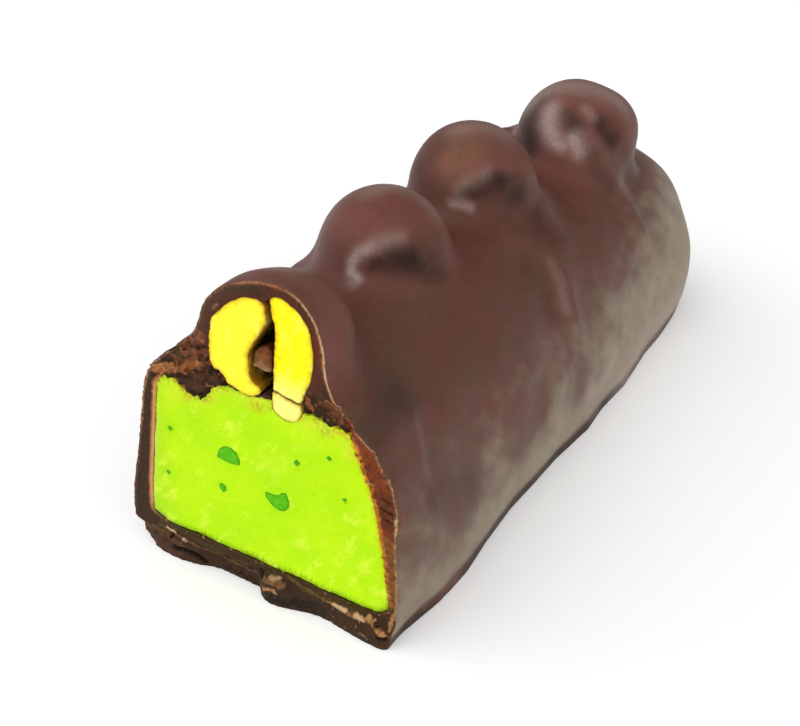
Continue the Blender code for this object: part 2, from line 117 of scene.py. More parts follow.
# Folds in the coating, as lines of (x, y, z), each with its width and its height, negative for a groove
FOLDS = (
    (((15.5, 84, 12), (15, 89, 3)), 5, 1.2),
    (((8.5, 63.5, 35), (11.6, 65.9, 29.5), (13.8, 66.9, 25.3), (16, 68.3, 20.7),
      (17.5, 69, 15)), 1.7, 0.7),
    (((12.5, 69.5, 28), (15.5, 71.5, 22), (17.3, 72, 15)), 2, -0.4),
    (((7, 53, 33), (9.1, 50.6, 29.8), (11.9, 48.1, 27.4)), 1.8, 0.6),
    (((8.5, 42, 30.5), (13, 44.5, 26.2), (14.7, 44.5, 23.7), (16.3, 44, 20)), 1.6, 0.55),
    (((13.2, 40, 26), (15, 40.8, 23.5)), 2.4, -0.5),
    (((16.5, 45, 19.5), (17.7, 46.3, 11)), 1.5, 0.3),
    (((17, 54, 18.5), (17.8, 55.2, 10)), 1.5, 0.3),
    (((13.9, 7.9, 25), (16.5, 6.6, 19.5), (17.8, 7.7, 9)), 1, 0.25),
    (((17.2, 14, 17), (17.8, 15.5, 8)), 1.8, -0.25),
    (((17.8, 33, 14), (17.8, 35, 9)), 3.5, -0.3),
    (((17.6, 71.5, 12.5), (17.7, 71.7, 10)), 1.1, -0.35),
    (((4.2, 21, 33.2), (5.4, 22.2, 33.6)), 2.1, -1.1),
    (((1.4, 39.2, 33.6), (4, 41.4, 35.2)), 1, -0.6),
    (((5.9, 42.4, 34.2), (7.3, 44.4, 33.6)), 2.2, -1.1),
    (((5, 62.6, 36.8), (5.4, 63.2, 35.6)), 1.6, -0.8),
    (((10.2, 66, 35), (10.8, 67, 33)), 2.2, -0.9),
    (((-7.5, 25, 31.5), (-12, 24, 27.5), (-15.5, 23, 20)), 1.8, 0.5),
    (((-7, 48.5, 32.5), (-11.5, 50, 28), (-15.5, 50.5, 20.5), (-17.3, 51, 13)), 1.7, 0.6),
    (((-3.5, 70, 33), (-10, 71.5, 29), (-15, 71, 21.5)), 2, 0.5),
    (((-14, 36, 25), (-16.5, 37, 16)), 2.4, -0.4),
    (((-13, 61, 26.5), (-16.5, 61.5, 16)), 2.6, -0.4),
)

# Slow waves over the whole coating: (x, y, z) turns per millimetre, phase, height
WAVES = (
    ((0.021, 0.043, 0.031), 0.7, 0.16), ((-0.047, 0.027, 0.052), 2.1, 0.12),
    ((0.062, -0.071, 0.035), 4.4, 0.08), ((0.033, 0.095, -0.064), 5.2, 0.06),
)
# They fade out over this height above the base
WAVES_OVER = 4.0

# Along the base the coating broke unevenly: how far its foot stands out from the cut, (x, amount)
LIP = (
    (-17.5, -0.4), (-16, -0.2), (-14.5, 0.2), (-13, 0.35), (-11.5, 0.35), (-10, 0.15), (-9, -0.1),
    (-7.8, -0.55), (-6.6, -0.75), (-2.8, -0.6), (-1.1, -0.55), (-0.4, 0.25), (0.5, 0.9), (1.6, 1.15),
    (2.8, 1), (3.9, 0.75), (5, 0.45), (6.2, 0.15), (7.4, 0), (8.7, 0.05), (10.3, 0.35), (11.7, 0.55),
    (13.1, 0.75), (14.4, 0.85), (15.5, 0.9), (16, 0.8), (16.5, 0.4),
)
LIP_HEIGHT = 3.2
LIP_STEP = 0.5

# The cut's outlines: (x, z), anticlockwise as seen from the cut
MARZIPAN_CORNERS = (
    (-13.2, 4.6), (-8.9, 4.6), (-1.9, 4.4), (4.9, 4.3), (10.1, 4), (14.9, 4.1), (16.2, 5.1),
    (15.4, 11.7), (14.4, 17.7), (12.8, 22.1), (11.4, 25.6), (9.1, 25.9), (6.7, 26.2), (4.2, 26.4),
    (2, 26.7), (0.1, 26.4), (-1.2, 26.1), (-3.7, 26.3), (-5, 26.1), (-5.7, 25.4), (-6.5, 24.3),
    (-7.2, 23.5), (-8.2, 23.3), (-9.3, 23.6), (-10.2, 24.1), (-11.1, 24.8), (-12, 24.7),
    (-13.2, 24.2), (-14.4, 15.6), (-15.2, 9.8), (-15.5, 5.6),
)
MARZIPAN_MIDDLE = (0.0, 15.0)
MARZIPAN_END_RINGS = (1, 0.96, 0.9, 0.8, 0.65, 0.45)
LEFT_HALF = (
    (-5.3, 34.1), (-5.7, 31.6), (-5.8, 30.2), (-5.7, 29), (-5.3, 28.1), (-4.7, 28.1), (-4.1, 27.7),
    (-3.6, 26.8), (-2.8, 26.6), (-1.7, 26.2), (-0.7, 26.2), (0.1, 26.6), (0.6, 27.2), (0.5, 27.7),
    (-0.2, 27.8), (-0.6, 28.3), (-0.9, 29.4), (-0.8, 31.3), (-0.4, 32.2), (0.6, 33.9), (1.4, 35.2),
    (1.6, 36), (1.4, 37.5), (0.6, 38), (-1, 37.8), (-2.8, 36.7), (-4.4, 35.1),
)
RIGHT_HALF = (
    (2.2, 38.3), (2.3, 36.6), (2.6, 35.7), (2.7, 34.6), (2.4, 31.3), (2.2, 27.95), (2.7, 27.9),
    (3.6, 27.65), (4.4, 27.5), (5.2, 27.4), (5.5, 27.4), (5.8, 28.4), (6.8, 30.3), (7.2, 32.7),
    (7.2, 34), (6.8, 36.4), (5.7, 37.9), (4.1, 38.8), (3.2, 39), (2.5, 38.8),
)
CHIP = (
    (2.1, 27.7), (2.05, 25.5), (2.7, 25.1), (3.7, 24.75), (4.3, 24.7), (5.2, 25.2), (5.6, 26.4),
    (5.5, 27.1), (4.6, 27.2), (3.8, 27.35), (2.9, 27.65),
)
SHARD = (
    (-0.5, 29.7), (-0.5, 30.8), (-0.1, 31.8), (0.5, 32.4), (1.4, 32.8), (2, 32.2), (1.9, 29.7),
    (1.1, 29.4), (0.2, 29.7),
)
# The hollow follows the outer sides of both halves, and the chip below them
NUT_HOLLOW = (
    LEFT_HALF[:12]
    + ((1, 27), (1.9, 27.3), (2, 25.4), (2.7, 25), (3.7, 24.7), (4.4, 24.8), (5.4, 25.4), (5.8, 26.5),
       (5.9, 28.4))
    + RIGHT_HALF[12:] + ((1.8, 38.1), (1.3, 37.8)) + LEFT_HALF[-4:]
)
NUT_MIDDLE = (0.7, 31.6)
NUT_STATIONS = ((0, 1), (2.4, 1), (4.8, 0.94), (6.9, 0.8), (8.4, 0.58), (9.2, 0.36))
SHARD_STATIONS = ((0.25, 1), (2, 0.95), (2.8, 0.7))

# Pistachio bits in the cut marzipan: outlines round a centre, (x, z)
PISTACHIO_BITS = (
    ((-4.1, 17.4), ((-1.1, -0.45), (-0.3, -0.6), (0.5, -0.65), (1.1, -0.55), (1.15, 0), (0.85, 0.6),
                    (0.3, 0.95), (-0.3, 0.9), (-0.8, 0.45))),
    ((2.2, 14.1), ((-1.15, 0.35), (-1.1, -0.05), (-0.6, -0.6), (0.1, -0.95), (0.65, -0.9), (1.1, -0.4),
                   (1.15, 0.3), (0.9, 0.95), (0.45, 0.85), (0.1, 0.45), (-0.5, 0.4))),
    ((-5.1, 12.8), ((-0.35, -0.1), (0, -0.5), (0.35, -0.2), (0.35, 0.3), (0, 0.5), (-0.3, 0.3))),
    ((-11.9, 18.2), ((-0.3, 0), (0, -0.3), (0.3, 0), (0.05, 0.3))),
    ((-12.8, 11.9), ((-0.25, 0), (0, -0.3), (0.3, 0), (0, 0.25))),
    ((4.9, 20), ((-0.3, -0.1), (0.05, -0.35), (0.35, 0.05), (0, 0.35))),
    ((8.9, 22), ((-0.3, 0), (0, -0.25), (0.3, 0.05), (0, 0.3))),
    ((10.7, 17.5), ((-0.25, 0), (0, -0.2), (0.3, 0.05), (0.05, 0.25))),
)


def linear(red, green, blue):
    """A linear colour from 0 to 255 screen values."""
    return tuple(
        ((c / 255 + 0.055) / 1.055) ** 2.4 if c > 10 else c / 255 / 12.92 for c in (red, green, blue))


# Broken chocolate, from the painted shade of its pits and recesses to its crushed edges
PIT_SHADE, RECESS_SHADE, SHADOW, DARK = linear(24, 14, 8), linear(34, 22, 17), linear(38, 30, 22), linear(40, 26, 18)
COCOA, OLIVE, MAUVE = linear(59, 40, 27), linear(62, 52, 34), linear(82, 53, 41)
MAROON, BRICK, RUST = linear(80, 42, 28), linear(126, 56, 26), linear(108, 64, 42)
OCHRE, UMBER, CRUSHED_EDGE_AND_HIGHLIGHT = linear(128, 84, 42), linear(122, 74, 52), linear(150, 88, 52)
ORANGE, BUFF, GOLD = linear(158, 96, 52), linear(192, 126, 70), linear(206, 128, 40)
TAN, PALE_TAN, PALE = linear(182, 130, 84), linear(214, 180, 136), linear(190, 168, 150)
MOSS_SHADE = linear(66, 56, 14)

# What shows on the cut chocolate: radius, colour, amount, and its line of (x, z)
CUT_MARKS = (
    # round the nut
    (0.71, MAUVE, 0.9, (-6.9, 32), (-6.1, 34.3), (-4.8, 36.3), (-2.8, 38), (-1.1, 39)),
    (0.61, MAROON, 1, (1.4, 39.4), (3, 39.4), (4.9, 38.7), (6.4, 37.5), (7.5, 35.9), (7.8, 33.9),
     (7.7, 31.3), (7.6, 29.6)),
    (0.4, BRICK, 0.45, (7.3, 36.6), (7.9, 34.6), (8, 32.4)),
    (0.3, OLIVE, 0.6, (-2.8, 37.9), (-0.1, 39.3), (1.6, 39.4)),
    (0.15, PALE_TAN, 0.5, (-4.8, 35.4), (-4.3, 35.9)),
    # the left wall
    (0.66, COCOA, 1, (-15.2, 21.4), (-16.4, 16.3), (-17.3, 10.4), (-17.6, 5.3)),
    (0.35, RUST, 0.9, (-14.3, 25.6), (-15.4, 22.4), (-16.2, 18)),
    # the torn shoulder
    (0.81, UMBER, 0.95, (-9.3, 29.3), (-6.9, 31.2)),
    (1.01, UMBER, 0.95, (-10, 27.4), (-7, 28.8)),
    (0.51, ORANGE, 0.7, (-9.2, 26.9), (-7.6, 27.5)),
    (0.45, OLIVE, 0.85, (-10.6, 28.5), (-10, 27.9)),
    (0.25, COCOA, 0.6, (-8.6, 29.8), (-7.3, 29.7)),
    (0.2, COCOA, 0.6, (-7.5, 28.9), (-6.5, 28.5)),
    (0.13, PALE_TAN, 0.6, (-9.3, 28), (-8.4, 27.6)),
    (0.51, ORANGE, 1, (-13.5, 25.3), (-11.9, 25.7), (-10.1, 26.2), (-9.5, 26.1)),
    (0.35, TAN, 0.6, (-13.4, 25.1), (-11.6, 25.6), (-10.4, 26.1)),
    (0.16, TAN, 0.8, (-13.7, 25.6), (-12.6, 26), (-10.9, 26.4)),
    (0.15, PALE, 0.9, (-13.5, 26.3), (-12.4, 27.3), (-11.3, 28.3)),
    (0.11, DARK, 0.7, (-13.6, 24.3), (-12, 24.8), (-10.5, 25)),
    (0.96, MAUVE, 0.85, (-9.2, 24.9), (-7.7, 25.4), (-6.3, 26.5)),
    (0.2, DARK, 0.6, (-9.1, 24), (-7.8, 23.8), (-6.4, 24.8)),
    (0.13, TAN, 0.6, (-6.7, 25.4), (-5.8, 25.5)),
    (0.42, PIT_SHADE, 1, (-5.6, 28), (-4.6, 27.4), (-3.8, 26.3)),
    (0.2, ORANGE, 0.5, (-4.5, 27), (-4.1, 26.5)),
    # right of the nut
    (1.01, COCOA, 1, (6.8, 28.4), (8.6, 27.5), (10.2, 26.3)),
    (0.3, DARK, 0.7, (6.4, 26.7), (8.1, 26.1), (10, 25.5)),
    (0.16, OLIVE, 0.9, (7.3, 28.2), (8.6, 27.5), (9.5, 26.7)),
    (0.5, RUST, 1, (8, 28.2), (9.2, 27.5), (9.9, 26.8)),
    (0.26, ORANGE, 0.8, (5.9, 28.1), (6.3, 27.3), (6.8, 27)),
    (0.28, ORANGE, 0.8, (8.7, 28.7), (9.3, 28.2), (10.1, 27.6)),
    (0.12, PALE, 0.8, (11.2, 25.9), (11.8, 25.4)),
    # the right wall
    (0.91, BRICK, 1, (11.7, 26.6), (12.8, 24.8), (14, 22.8), (15.2, 20.3)),
    (0.91, BRICK, 1, (15.2, 20.3), (15.8, 17), (16.1, 13.9)),
    (0.91, OCHRE, 0.9, (16, 13.9), (16.4, 10.7), (16.9, 6.6)),
    (0.71, MAROON, 0.75, (15.5, 19.7), (15.8, 16.3)),
    (0.13, PIT_SHADE, 0.7, (15, 19.4), (16.1, 19.2)),
    (0.13, PIT_SHADE, 0.7, (14.9, 18.2), (16.4, 17.9)),
    (0.13, PIT_SHADE, 0.7, (15, 17.1), (16.4, 16.7)),
    (0.15, ORANGE, 0.8, (15.4, 21.7), (16.1, 21.6), (16.6, 20.8), (16.9, 19.5), (17.1, 18.1)),
    (0.2, PALE_TAN, 0.8, (16.9, 17.4), (17, 16.3), (16.9, 14.8)),
    (0.12, ORANGE, 0.6, (13.3, 26), (14.6, 24.3), (15.3, 23.1)),
    (0.3, PIT_SHADE, 1, (13.8, 20.3), (14.1, 19.7)),
    (0.15, TAN, 0.9, (13.2, 20.9), (14, 20.7)),
    (0.12, TAN, 0.7, (14.4, 19.1), (14.6, 18.2)),
    (0.18, PIT_SHADE, 0.8, (14.2, 24.6), (14.6, 24.3)),
    (0.18, PIT_SHADE, 0.8, (15.5, 22.1), (16, 21.9)),
    # the corner below it
    (0.71, COCOA, 1, (15.5, 4), (16.1, 4.8)),
    (0.2, TAN, 0.9, (13.8, 3.2), (14.5, 3), (15.3, 2.3), (16.1, 2)),
    (0.22, TAN, 0.8, (17.1, 5.4), (16.5, 3.6), (16.4, 2.6)),
    (0.2, PIT_SHADE, 1, (14.8, 2.9), (15.1, 2.6)),
    (0.25, PIT_SHADE, 0.9, (15.3, 1.3), (16.1, 1.4)),
    (0.13, PALE, 0.9, (13, 1), (13.2, 0.9)),
    (0.13, PALE, 0.9, (13.8, 0.8), (14, 0.6)),
    # the broken foot
    (0.91, MAUVE, 0.6, (-16.7, 1.4), (-14.6, 1.1), (-12.4, 0.6)),
    (0.4, TAN, 0.12, (-17.3, 2.4), (-15.1, 2.9), (-13.1, 2.5), (-11.4, 2.1)),
    (0.71, COCOA, 0.8, (-8.6, 1.7), (-6.1, 1), (-3.2, 0.9)),
    (0.11, TAN, 0.22, (-14.8, 3.7), (-13, 3.4), (-11.8, 3.1), (-9.7, 2.8), (-7.4, 2.1), (-4.6, 2),
     (-2.4, 1.9), (-1.1, 1.8)),
    (0.16, PALE_TAN, 0.8, (-13.7, 3.7), (-12.4, 3.3)),
    (0.16, PALE_TAN, 0.8, (-11.3, 3), (-11, 2.8)),
    (0.24, PIT_SHADE, 1, (-13.1, 2.5), (-12.8, 2.9)),
    (0.3, PIT_SHADE, 1, (-12.6, 1.3), (-11, 1.5), (-9.5, 1.2), (-8.7, 0.6)),
    (0.35, DARK, 0.8, (-5.7, 0.7), (-3.2, 0.6), (-1.6, 0.5)),
    (0.25, PIT_SHADE, 0.9, (-0.4, 3.1), (0, 2.8)),
    (0.25, TAN, 0.35, (0.4, 2.7), (1.7, 3), (2.9, 2.8)),
    (0.13, TAN, 0.9, (0, 1.3), (1.6, 2), (2.4, 1.9)),
    (0.12, PALE_TAN, 0.5, (1, 3.1), (2.3, 3.3)),
    (0.76, SHADOW, 1, (1.2, 0.6), (3.4, 1.1), (5.1, 1.1), (7.2, 0.9)),
    (0.71, COCOA, 0.8, (8.8, 1), (11.7, 1.3), (14.2, 1)),
    (0.2, TAN, 0.6, (3.3, 3.8), (4.6, 3.4), (6.2, 3.1), (8.1, 2.8), (10.3, 2.7), (11.9, 2.7), (13.6, 3)),
    (0.2, PALE_TAN, 0.7, (9.3, 2.7), (11, 2.8)),
    (0.2, PALE_TAN, 0.7, (12.4, 2.8), (13.5, 2.9)),
    # painted shade: a dark mossy band under the marzipan's lower edge
    (0.2, MOSS_SHADE, 0.9, (-14.7, 4.4), (-12.5, 4), (-10.4, 3.8), (-8.2, 3.5), (-6.1, 3.3), (-4.3, 2.9),
     (-2.6, 3.2), (-1.3, 2.2)),
    (0.2, MOSS_SHADE, 0.9, (0.5, 3.3), (2.9, 3.8), (5.2, 3.2), (7.5, 2.9), (10.1, 3.3), (11.5, 3.2),
     (13.2, 3.4)),
)


def unit(value):
    """A value held between 0 and 1."""
    return np.clip(value, 0, 1)


def smooth(share):
    """A share from 0 to 1, with a gentle start and end."""
    return share * share * (3 - 2 * share)


def smooth_min(a, b, width):
    """The smaller of two fields, blended over width."""
    share = np.clip(width - np.abs(a - b), 0, None) / width
    return np.minimum(a, b) - share * share * width / 4


def smooth_max(a, b, width):
    return -smooth_min(-a, -b, width)


def line_distance(place, line):
    """How far points are from a line through corners, all with the same number of axes."""
    nearest = np.full(np.shape(place[0]), np.inf)
    for start, end in zip(line, line[1:]):
        way = np.subtract(end, start)
        along = [p - c for p, c in zip(place, start)]
        share = unit(sum(a * w for a, w in zip(along, way)) / (way @ way))
        nearest = np.minimum(nearest, sum((a - w * share) ** 2 for a, w in zip(along, way)))
    return np.sqrt(nearest)


def ridge(place, line, width):
    """1 along a line, falling off to either side."""
    return np.exp(-(line_distance(place, line) / width) ** 2)


def polygon_distance(x, z, corners):
    """Signed distance to a closed polygon, negative inside."""
    corners = np.asarray(corners, float)
    nearest = np.full(np.shape(x), np.inf)
    inside = np.zeros(np.shape(x), bool)
    for (ax, az), (bx, bz) in zip(corners, np.roll(corners, -1, axis=0)):
        ex, ez = bx - ax, bz - az
        share = unit(((x - ax) * ex + (z - az) * ez) / (ex * ex + ez * ez + 1e-12))
        nearest = np.minimum(nearest, (x - ax - share * ex) ** 2 + (z - az - share * ez) ** 2)
        crosses = (az > z) != (bz > z)
        inside ^= crosses & (x < ax + (z - az) / (bz - az + 1e-12) * ex)
    return np.sqrt(nearest) * np.where(inside, -1, 1)


def resampled(corners, step, rounding):
    """A closed outline with a point every step, its corners rounded by moving averages."""
    corners = np.asarray(corners, float)
    closed = np.vstack([corners, corners[:1]])
    marks = np.concatenate([[0], np.cumsum(np.linalg.norm(np.diff(closed, axis=0), axis=1))])
    places = np.linspace(0, marks[-1], int(marks[-1] / step), endpoint=False)
    points = np.stack([np.interp(places, marks, closed[:, k]) for k in (0, 1)], axis=1)
    for _ in range(rounding):
        points = 0.5 * points + 0.25 * (np.roll(points, 1, axis=0) + np.roll(points, -1, axis=0))
    return points


class SectionField:
    """The distance to an outline of the bar, blurred a little and kept on a grid so that it reads fast."""

    STEP = 0.2
    LOW = (-48.0, -30.0)
    SIZE = (480, 400)
    BLUR_REACH = 12
    EDGE = 13

    def __init__(self, corners, blur):
        x = self.LOW[0] + self.STEP * np.arange(self.SIZE[0])
        z = self.LOW[1] + self.STEP * np.arange(self.SIZE[1])
        grid = polygon_distance(*np.meshgrid(x, z, indexing="ij"), corners)
        reach = np.arange(-self.BLUR_REACH, self.BLUR_REACH + 1)
        weights = np.exp(-0.5 * (reach * self.STEP / blur) ** 2)
        weights /= weights.sum()
        for axis in (0, 1):
            grid = sum(w * np.roll(grid, r, axis=axis) for w, r in zip(weights, reach))
        self.grid = grid

    def at(self, x, z):
        u = np.clip((x - self.LOW[0]) / self.STEP, self.EDGE, self.SIZE[0] - self.EDGE - 2)
        v = np.clip((z - self.LOW[1]) / self.STEP, self.EDGE, self.SIZE[1] - self.EDGE - 2)
        i, j = u.astype(int), v.astype(int)
        u, v = u - i, v - j
        g = self.grid
        return ((g[i, j] * (1 - u) + g[i + 1, j] * u) * (1 - v)
                + (g[i, j + 1] * (1 - u) + g[i + 1, j + 1] * u) * v)


# Behind the cut the coating has flowed round, with no corners left
cut_outline = SectionField(CUT_CORNERS, 0.12)
cut_section = SectionField(BODY_CORNERS, 0.4)
flowed_section = SectionField(resampled(BODY_CORNERS, 1.6, 8), 1.0)
FLOWED_FROM, FLOWED_OVER = 3.0, 9.0


def fold_height(x, y, z):
    """How far the folds and waves push the coating outwards."""
    height = sum(h * np.sin(2 * math.pi * (x * a + y * b + z * c) + p) for (a, b, c), p, h in WAVES)
    height = height * unit(z / WAVES_OVER)
    for line, width, amount in FOLDS:
        height = height + amount * ridge((x, y, z), line, width)
    return height * unit(y / CUT_REACH)


def body_field(x, y, z):
    """Negative inside the bar without its nuts."""
    foot = unit(1 - z / FOOT_HEIGHT)
    right = np.interp(y, *np.transpose(RIGHT_FOOT)) * foot
    left = np.interp(y, *np.transpose(LEFT_FOOT)) * foot
    across = np.where(x > 0, x - right, x + left)
    flowed = unit((y - FLOWED_FROM) / FLOWED_OVER)
    section = cut_section.at(across, z) * (1 - flowed) + flowed_section.at(across, z) * flowed
    setback = END_CURVE * np.clip(z - END_UPRIGHT, 0, END_RISE) ** 2
    return smooth_max(section, (y - BAR_LENGTH + setback) * END_LEAN, END_ROUNDING)


def lump_field(x, y, z, centre, radii):
    scaled = [(p - c) / r for p, c, r in zip((x, y, z), centre, radii)]
    return (np.sqrt(sum(s * s for s in scaled)) - 1) * min(radii)


def coating_field(x, y, z):
    """Negative inside the whole coated bar, before its folds."""
    field = body_field(x, y, z)
    for centre, radii in LUMPS:
        field = smooth_min(field, lump_field(x, y, z, centre, radii), LUMP_BLEND)
    near = smooth(unit(1 - y / CUT_REACH))
    return field * (1 - near) + cut_outline.at(x, z) * near


# Rays are traced inwards from beyond the coating, by a share of the field at each of the steps
TRACE_FROM, TRACE_SHARE, TRACE_STEPS = 45.0, 0.9, 60


def ring_ways(count):
    """Directions all round the bar's axis, square to it, starting at the top."""
    angles = np.linspace(-math.pi, math.pi, count, endpoint=False) - math.pi / 2
    return np.stack([np.cos(angles), np.zeros(count), np.sin(angles)], axis=1)


def ring_at(y, ways):
    """The outermost point of the coating along each ray from the bar's axis at y."""
    origins = np.tile((0, y, AXIS_HEIGHT), (len(ways), 1))
    floor = (origins[:, 2] + BELOW_BASE) / np.clip(-ways[:, 2], 1e-6, None)
    reach = np.full(len(origins), TRACE_FROM)
    for _ in range(TRACE_STEPS):
        reach -= TRACE_SHARE * coating_field(*(origins + ways * reach[:, None]).T)
    reach += fold_height(*(origins + ways * reach[:, None]).T)
    return origins + ways * np.minimum(reach, floor)[:, None]


def ripples(count, longest, shortest, seed):
    """A smooth random field of (x, z), about -1 to 1, from plane waves between two wavelengths."""
    draw = np.random.default_rng(seed)
    turns = 1 / np.exp(draw.uniform(math.log(shortest), math.log(longest), count))
    headings = draw.uniform(0, 2 * math.pi, count)
    phases = draw.uniform(0, 2 * math.pi, count)

    def field(x, z):
        total = 0
        for turn, heading, phase in zip(turns, headings, phases):
            along = x * math.cos(heading) + z * math.sin(heading)
            total = total + np.sin(2 * math.pi * turn * along + phase)
        return total / math.sqrt(count)

    return field


broad_break = ripples(14, 4.0, 1.6, 11)
small_break = ripples(22, 1.5, 0.6, 12)
crumb_break = ripples(30, 0.7, 0.3, 13)
paste_swell = ripples(16, 9.0, 2.5, 14)
paste_grain = ripples(26, 1.6, 0.7, 15)


def plateau(value, low, high, soft):
    """1 between low and high, falling to 0 over soft round each of them."""
    return unit((value - low) / soft + 0.5) * unit((high - value) / soft + 0.5)


def zone(x, z, across, up):
    """1 inside a box of the cut, falling to 0 round it, from (low, high, softness) across and up."""
    return plateau(x, *across) * plateau(z, *up)


def edging(distance, reach, width, rough=0):
    """1 along an edge, falling to 0 away from it, with a border that rough breaks up."""
    return unit(reach - distance / width + rough)


# The right wall broke in ledges that slope down towards the base
LEDGE_SLOPE, LEDGE_RISE = 0.45, 1.25


def ledges(x, z):
    """How far up its ledge each point of the right wall lies, from 0 to 1."""
    rise = (z + LEDGE_SLOPE * x + 0.5 * broad_break(x, z)) / LEDGE_RISE
    return rise - np.floor(rise)


def cut_relief(x, z):
    """How far the cut chocolate stands off its plane, negative towards the viewer of the cut."""
    broad, small = broad_break(x, z), small_break(x, z)
    edge = LIP_HEIGHT - 0.1 + 0.2 * broad_break(x, 0 * z)
    relief = -np.interp(x, *np.transpose(LIP)) * unit((edge - z) / LIP_STEP)
    relief += unit(LIP_HEIGHT - z) * unit(z / 1.5) * (0.1 * broad + 0.05 * small)
    right = zone(x, z, (12.4, 40, 1.0), (5.0, 24.5, 2.0))
    relief += right * (0.16 * ledges(x, z) - 0.1 + 0.03 * small)
    # the lump left of the nut with the shoulder above it, and the hollow right of the nut, are torn
    left = zone(x, z, (-13.6, -5.4, 1.2), (23.2, 30.5, 1.0))
    relief += left * (0.4 + 0.3 * broad + 0.2 * small)
    under = zone(x, z, (5.6, 11.6, 0.8), (25.0, 28.6, 0.8))
    relief += under * (0.45 + 0.2 * broad + 0.16 * small)
    relief += 0.03 * small
    # the pits, whose dark is painted shade, are sunk into the relief too
    for radius, colour, amount, *line in CUT_MARKS:
        if colour is PIT_SHADE:
            relief += (0.3 + radius) * amount * ridge((x, z), line, radius)
    return relief


def standing(flat, depth):
    """Points of the cut's plane, (x, z), each stood at a depth along Y."""
    return np.stack([flat[:, 0], depth, flat[:, 1]], axis=1)


def patch(outline, step, kept=None):
    """Points and triangles that fill a closed outline, the outline's own points first."""
    low, high = outline.min(axis=0), outline.max(axis=0)
    columns, rows = np.arange(low[0], high[0], step), np.arange(low[1], high[1], step * 0.866)
    x, z = np.meshgrid(columns, rows)
    x = x + step / 2 * (np.arange(len(rows)) % 2)[:, None]
    shift = np.random.default_rng(len(outline)).uniform(-0.2, 0.2, (2,) + x.shape) * step
    inner = np.stack([(x + shift[0]).ravel(), (z + shift[1]).ravel()], axis=1)
    inside = polygon_distance(inner[:, 0], inner[:, 1], outline) < -0.55 * step
    if kept is not None:
        inside &= kept(inner[:, 0], inner[:, 1])
    flat = np.concatenate([outline, inner[inside]])
    loop = [list(range(len(outline)))]
    made_of = delaunay_2d_cdt([Vector(p) for p in flat], [], loop, 1, 1e-7)
    source = [before[0] for before in made_of[3]]
    return flat, [[source[v] for v in triangle] for triangle in made_of[2]]


def joined_rings(first, second):
    """Quads between two rings of vertex numbers."""
    first_next, second_next = np.roll(first, -1).tolist(), np.roll(second, -1).tolist()
    return [(a, d, c, b) for a, b, c, d in zip(first, first_next, second_next, second)]


SPOKES = 400
# Rings along the bar, closer together near the cut and where the lumps' fronts are steep: from, to, step
RING_SPANS = (
    (0.5, 2.0, 0.45), (2.0, 9.0, 0.45), (9.0, 18.6, 0.85), (18.6, 19.5, 0.06), (19.5, 20.7, 0.14),
    (20.7, 24.2, 0.35), (24.2, 38.7, 0.9), (38.7, 39.6, 0.06), (39.6, 40.8, 0.14), (40.8, 45.0, 0.35),
    (45.0, 60.0, 0.9), (60.0, 60.9, 0.06), (60.9, 62.2, 0.14), (62.2, 66.2, 0.35),
    (66.2, END_CENTRE + 0.1, 0.9),
)
SIDE_STATIONS = np.concatenate([np.arange(*span) for span in RING_SPANS])
END_TILTS = np.radians(np.linspace(1.9, 88.0, 33))
# Steps between the points of the cut chocolate, of the marzipan and of the nut
CUT_STEP, PASTE_STEP, NUT_STEP = 0.16, 0.22, 0.22
# The cut face isn't built deeper than this inside the hollows, which are cut out of it
SPARED_DEPTH = 0.6


def coating_mesh():
    """Vertices, faces and the number of cut faces of the solid coated bar, before its hollows are cut."""
    spokes = ring_ways(SPOKES)
    outline = ring_at(0, spokes)[:, (0, 2)]
    torn = zone(*outline.T, (12.5, 40, 1), (4, 25, 2)) + zone(*outline.T, (-16.0, -8.0, 1), (22, 40, 2))
    chips = (0.04 + 0.1 * torn) * np.clip(0.5 + small_break(*outline.T), 0, 2)
    chips *= np.clip(outline[:, 1] / 2, 0.1, 1)
    axis = np.array((0, AXIS_HEIGHT))
    reach = np.linalg.norm(outline - axis, axis=1)

    def inset(amount):
        return axis + (outline - axis) * (1 - amount / reach)[:, None]

    def kept(x, z):
        filled = polygon_distance(x, z, MARZIPAN_CORNERS) < -SPARED_DEPTH
        hollow = polygon_distance(x, z, NUT_HOLLOW) < -SPARED_DEPTH
        return ~filled & ~hollow & (z > -0.5)

    flat, faces = patch(inset(0.1 + chips), CUT_STEP, kept)
    cut_faces = len(faces)
    edge = inset(chips * 0.6)
    rings = [standing(flat, cut_relief(*flat.T)), standing(edge, cut_relief(*edge.T) + 0.13)]
    rings += [ring_at(y, spokes) for y in SIDE_STATIONS]
    for tilt in END_TILTS:
        ways = spokes * math.cos(tilt) + np.array((0, math.sin(tilt), 0))
        rings.append(ring_at(END_CENTRE, ways))
    rings.append(ring_at(END_CENTRE, np.array([(0.0, 1.0, 0.0)])))
    points = np.concatenate(rings)
    before = list(range(SPOKES))
    for number in range(1, len(rings) - 1):
        first = len(flat) + (number - 1) * SPOKES
        ring = list(range(first, first + SPOKES))
        faces += joined_rings(before, ring)
        before = ring
    tip = len(points) - 1
    faces += [(a, tip, b) for a, b in zip(before, np.roll(before, -1).tolist())]
    return points, faces, cut_faces


def shown(name, data):
    """A new object in the scene."""
    obj = bpy.data.objects.new(name, data)
    bpy.context.scene.collection.objects.link(obj)
    return obj


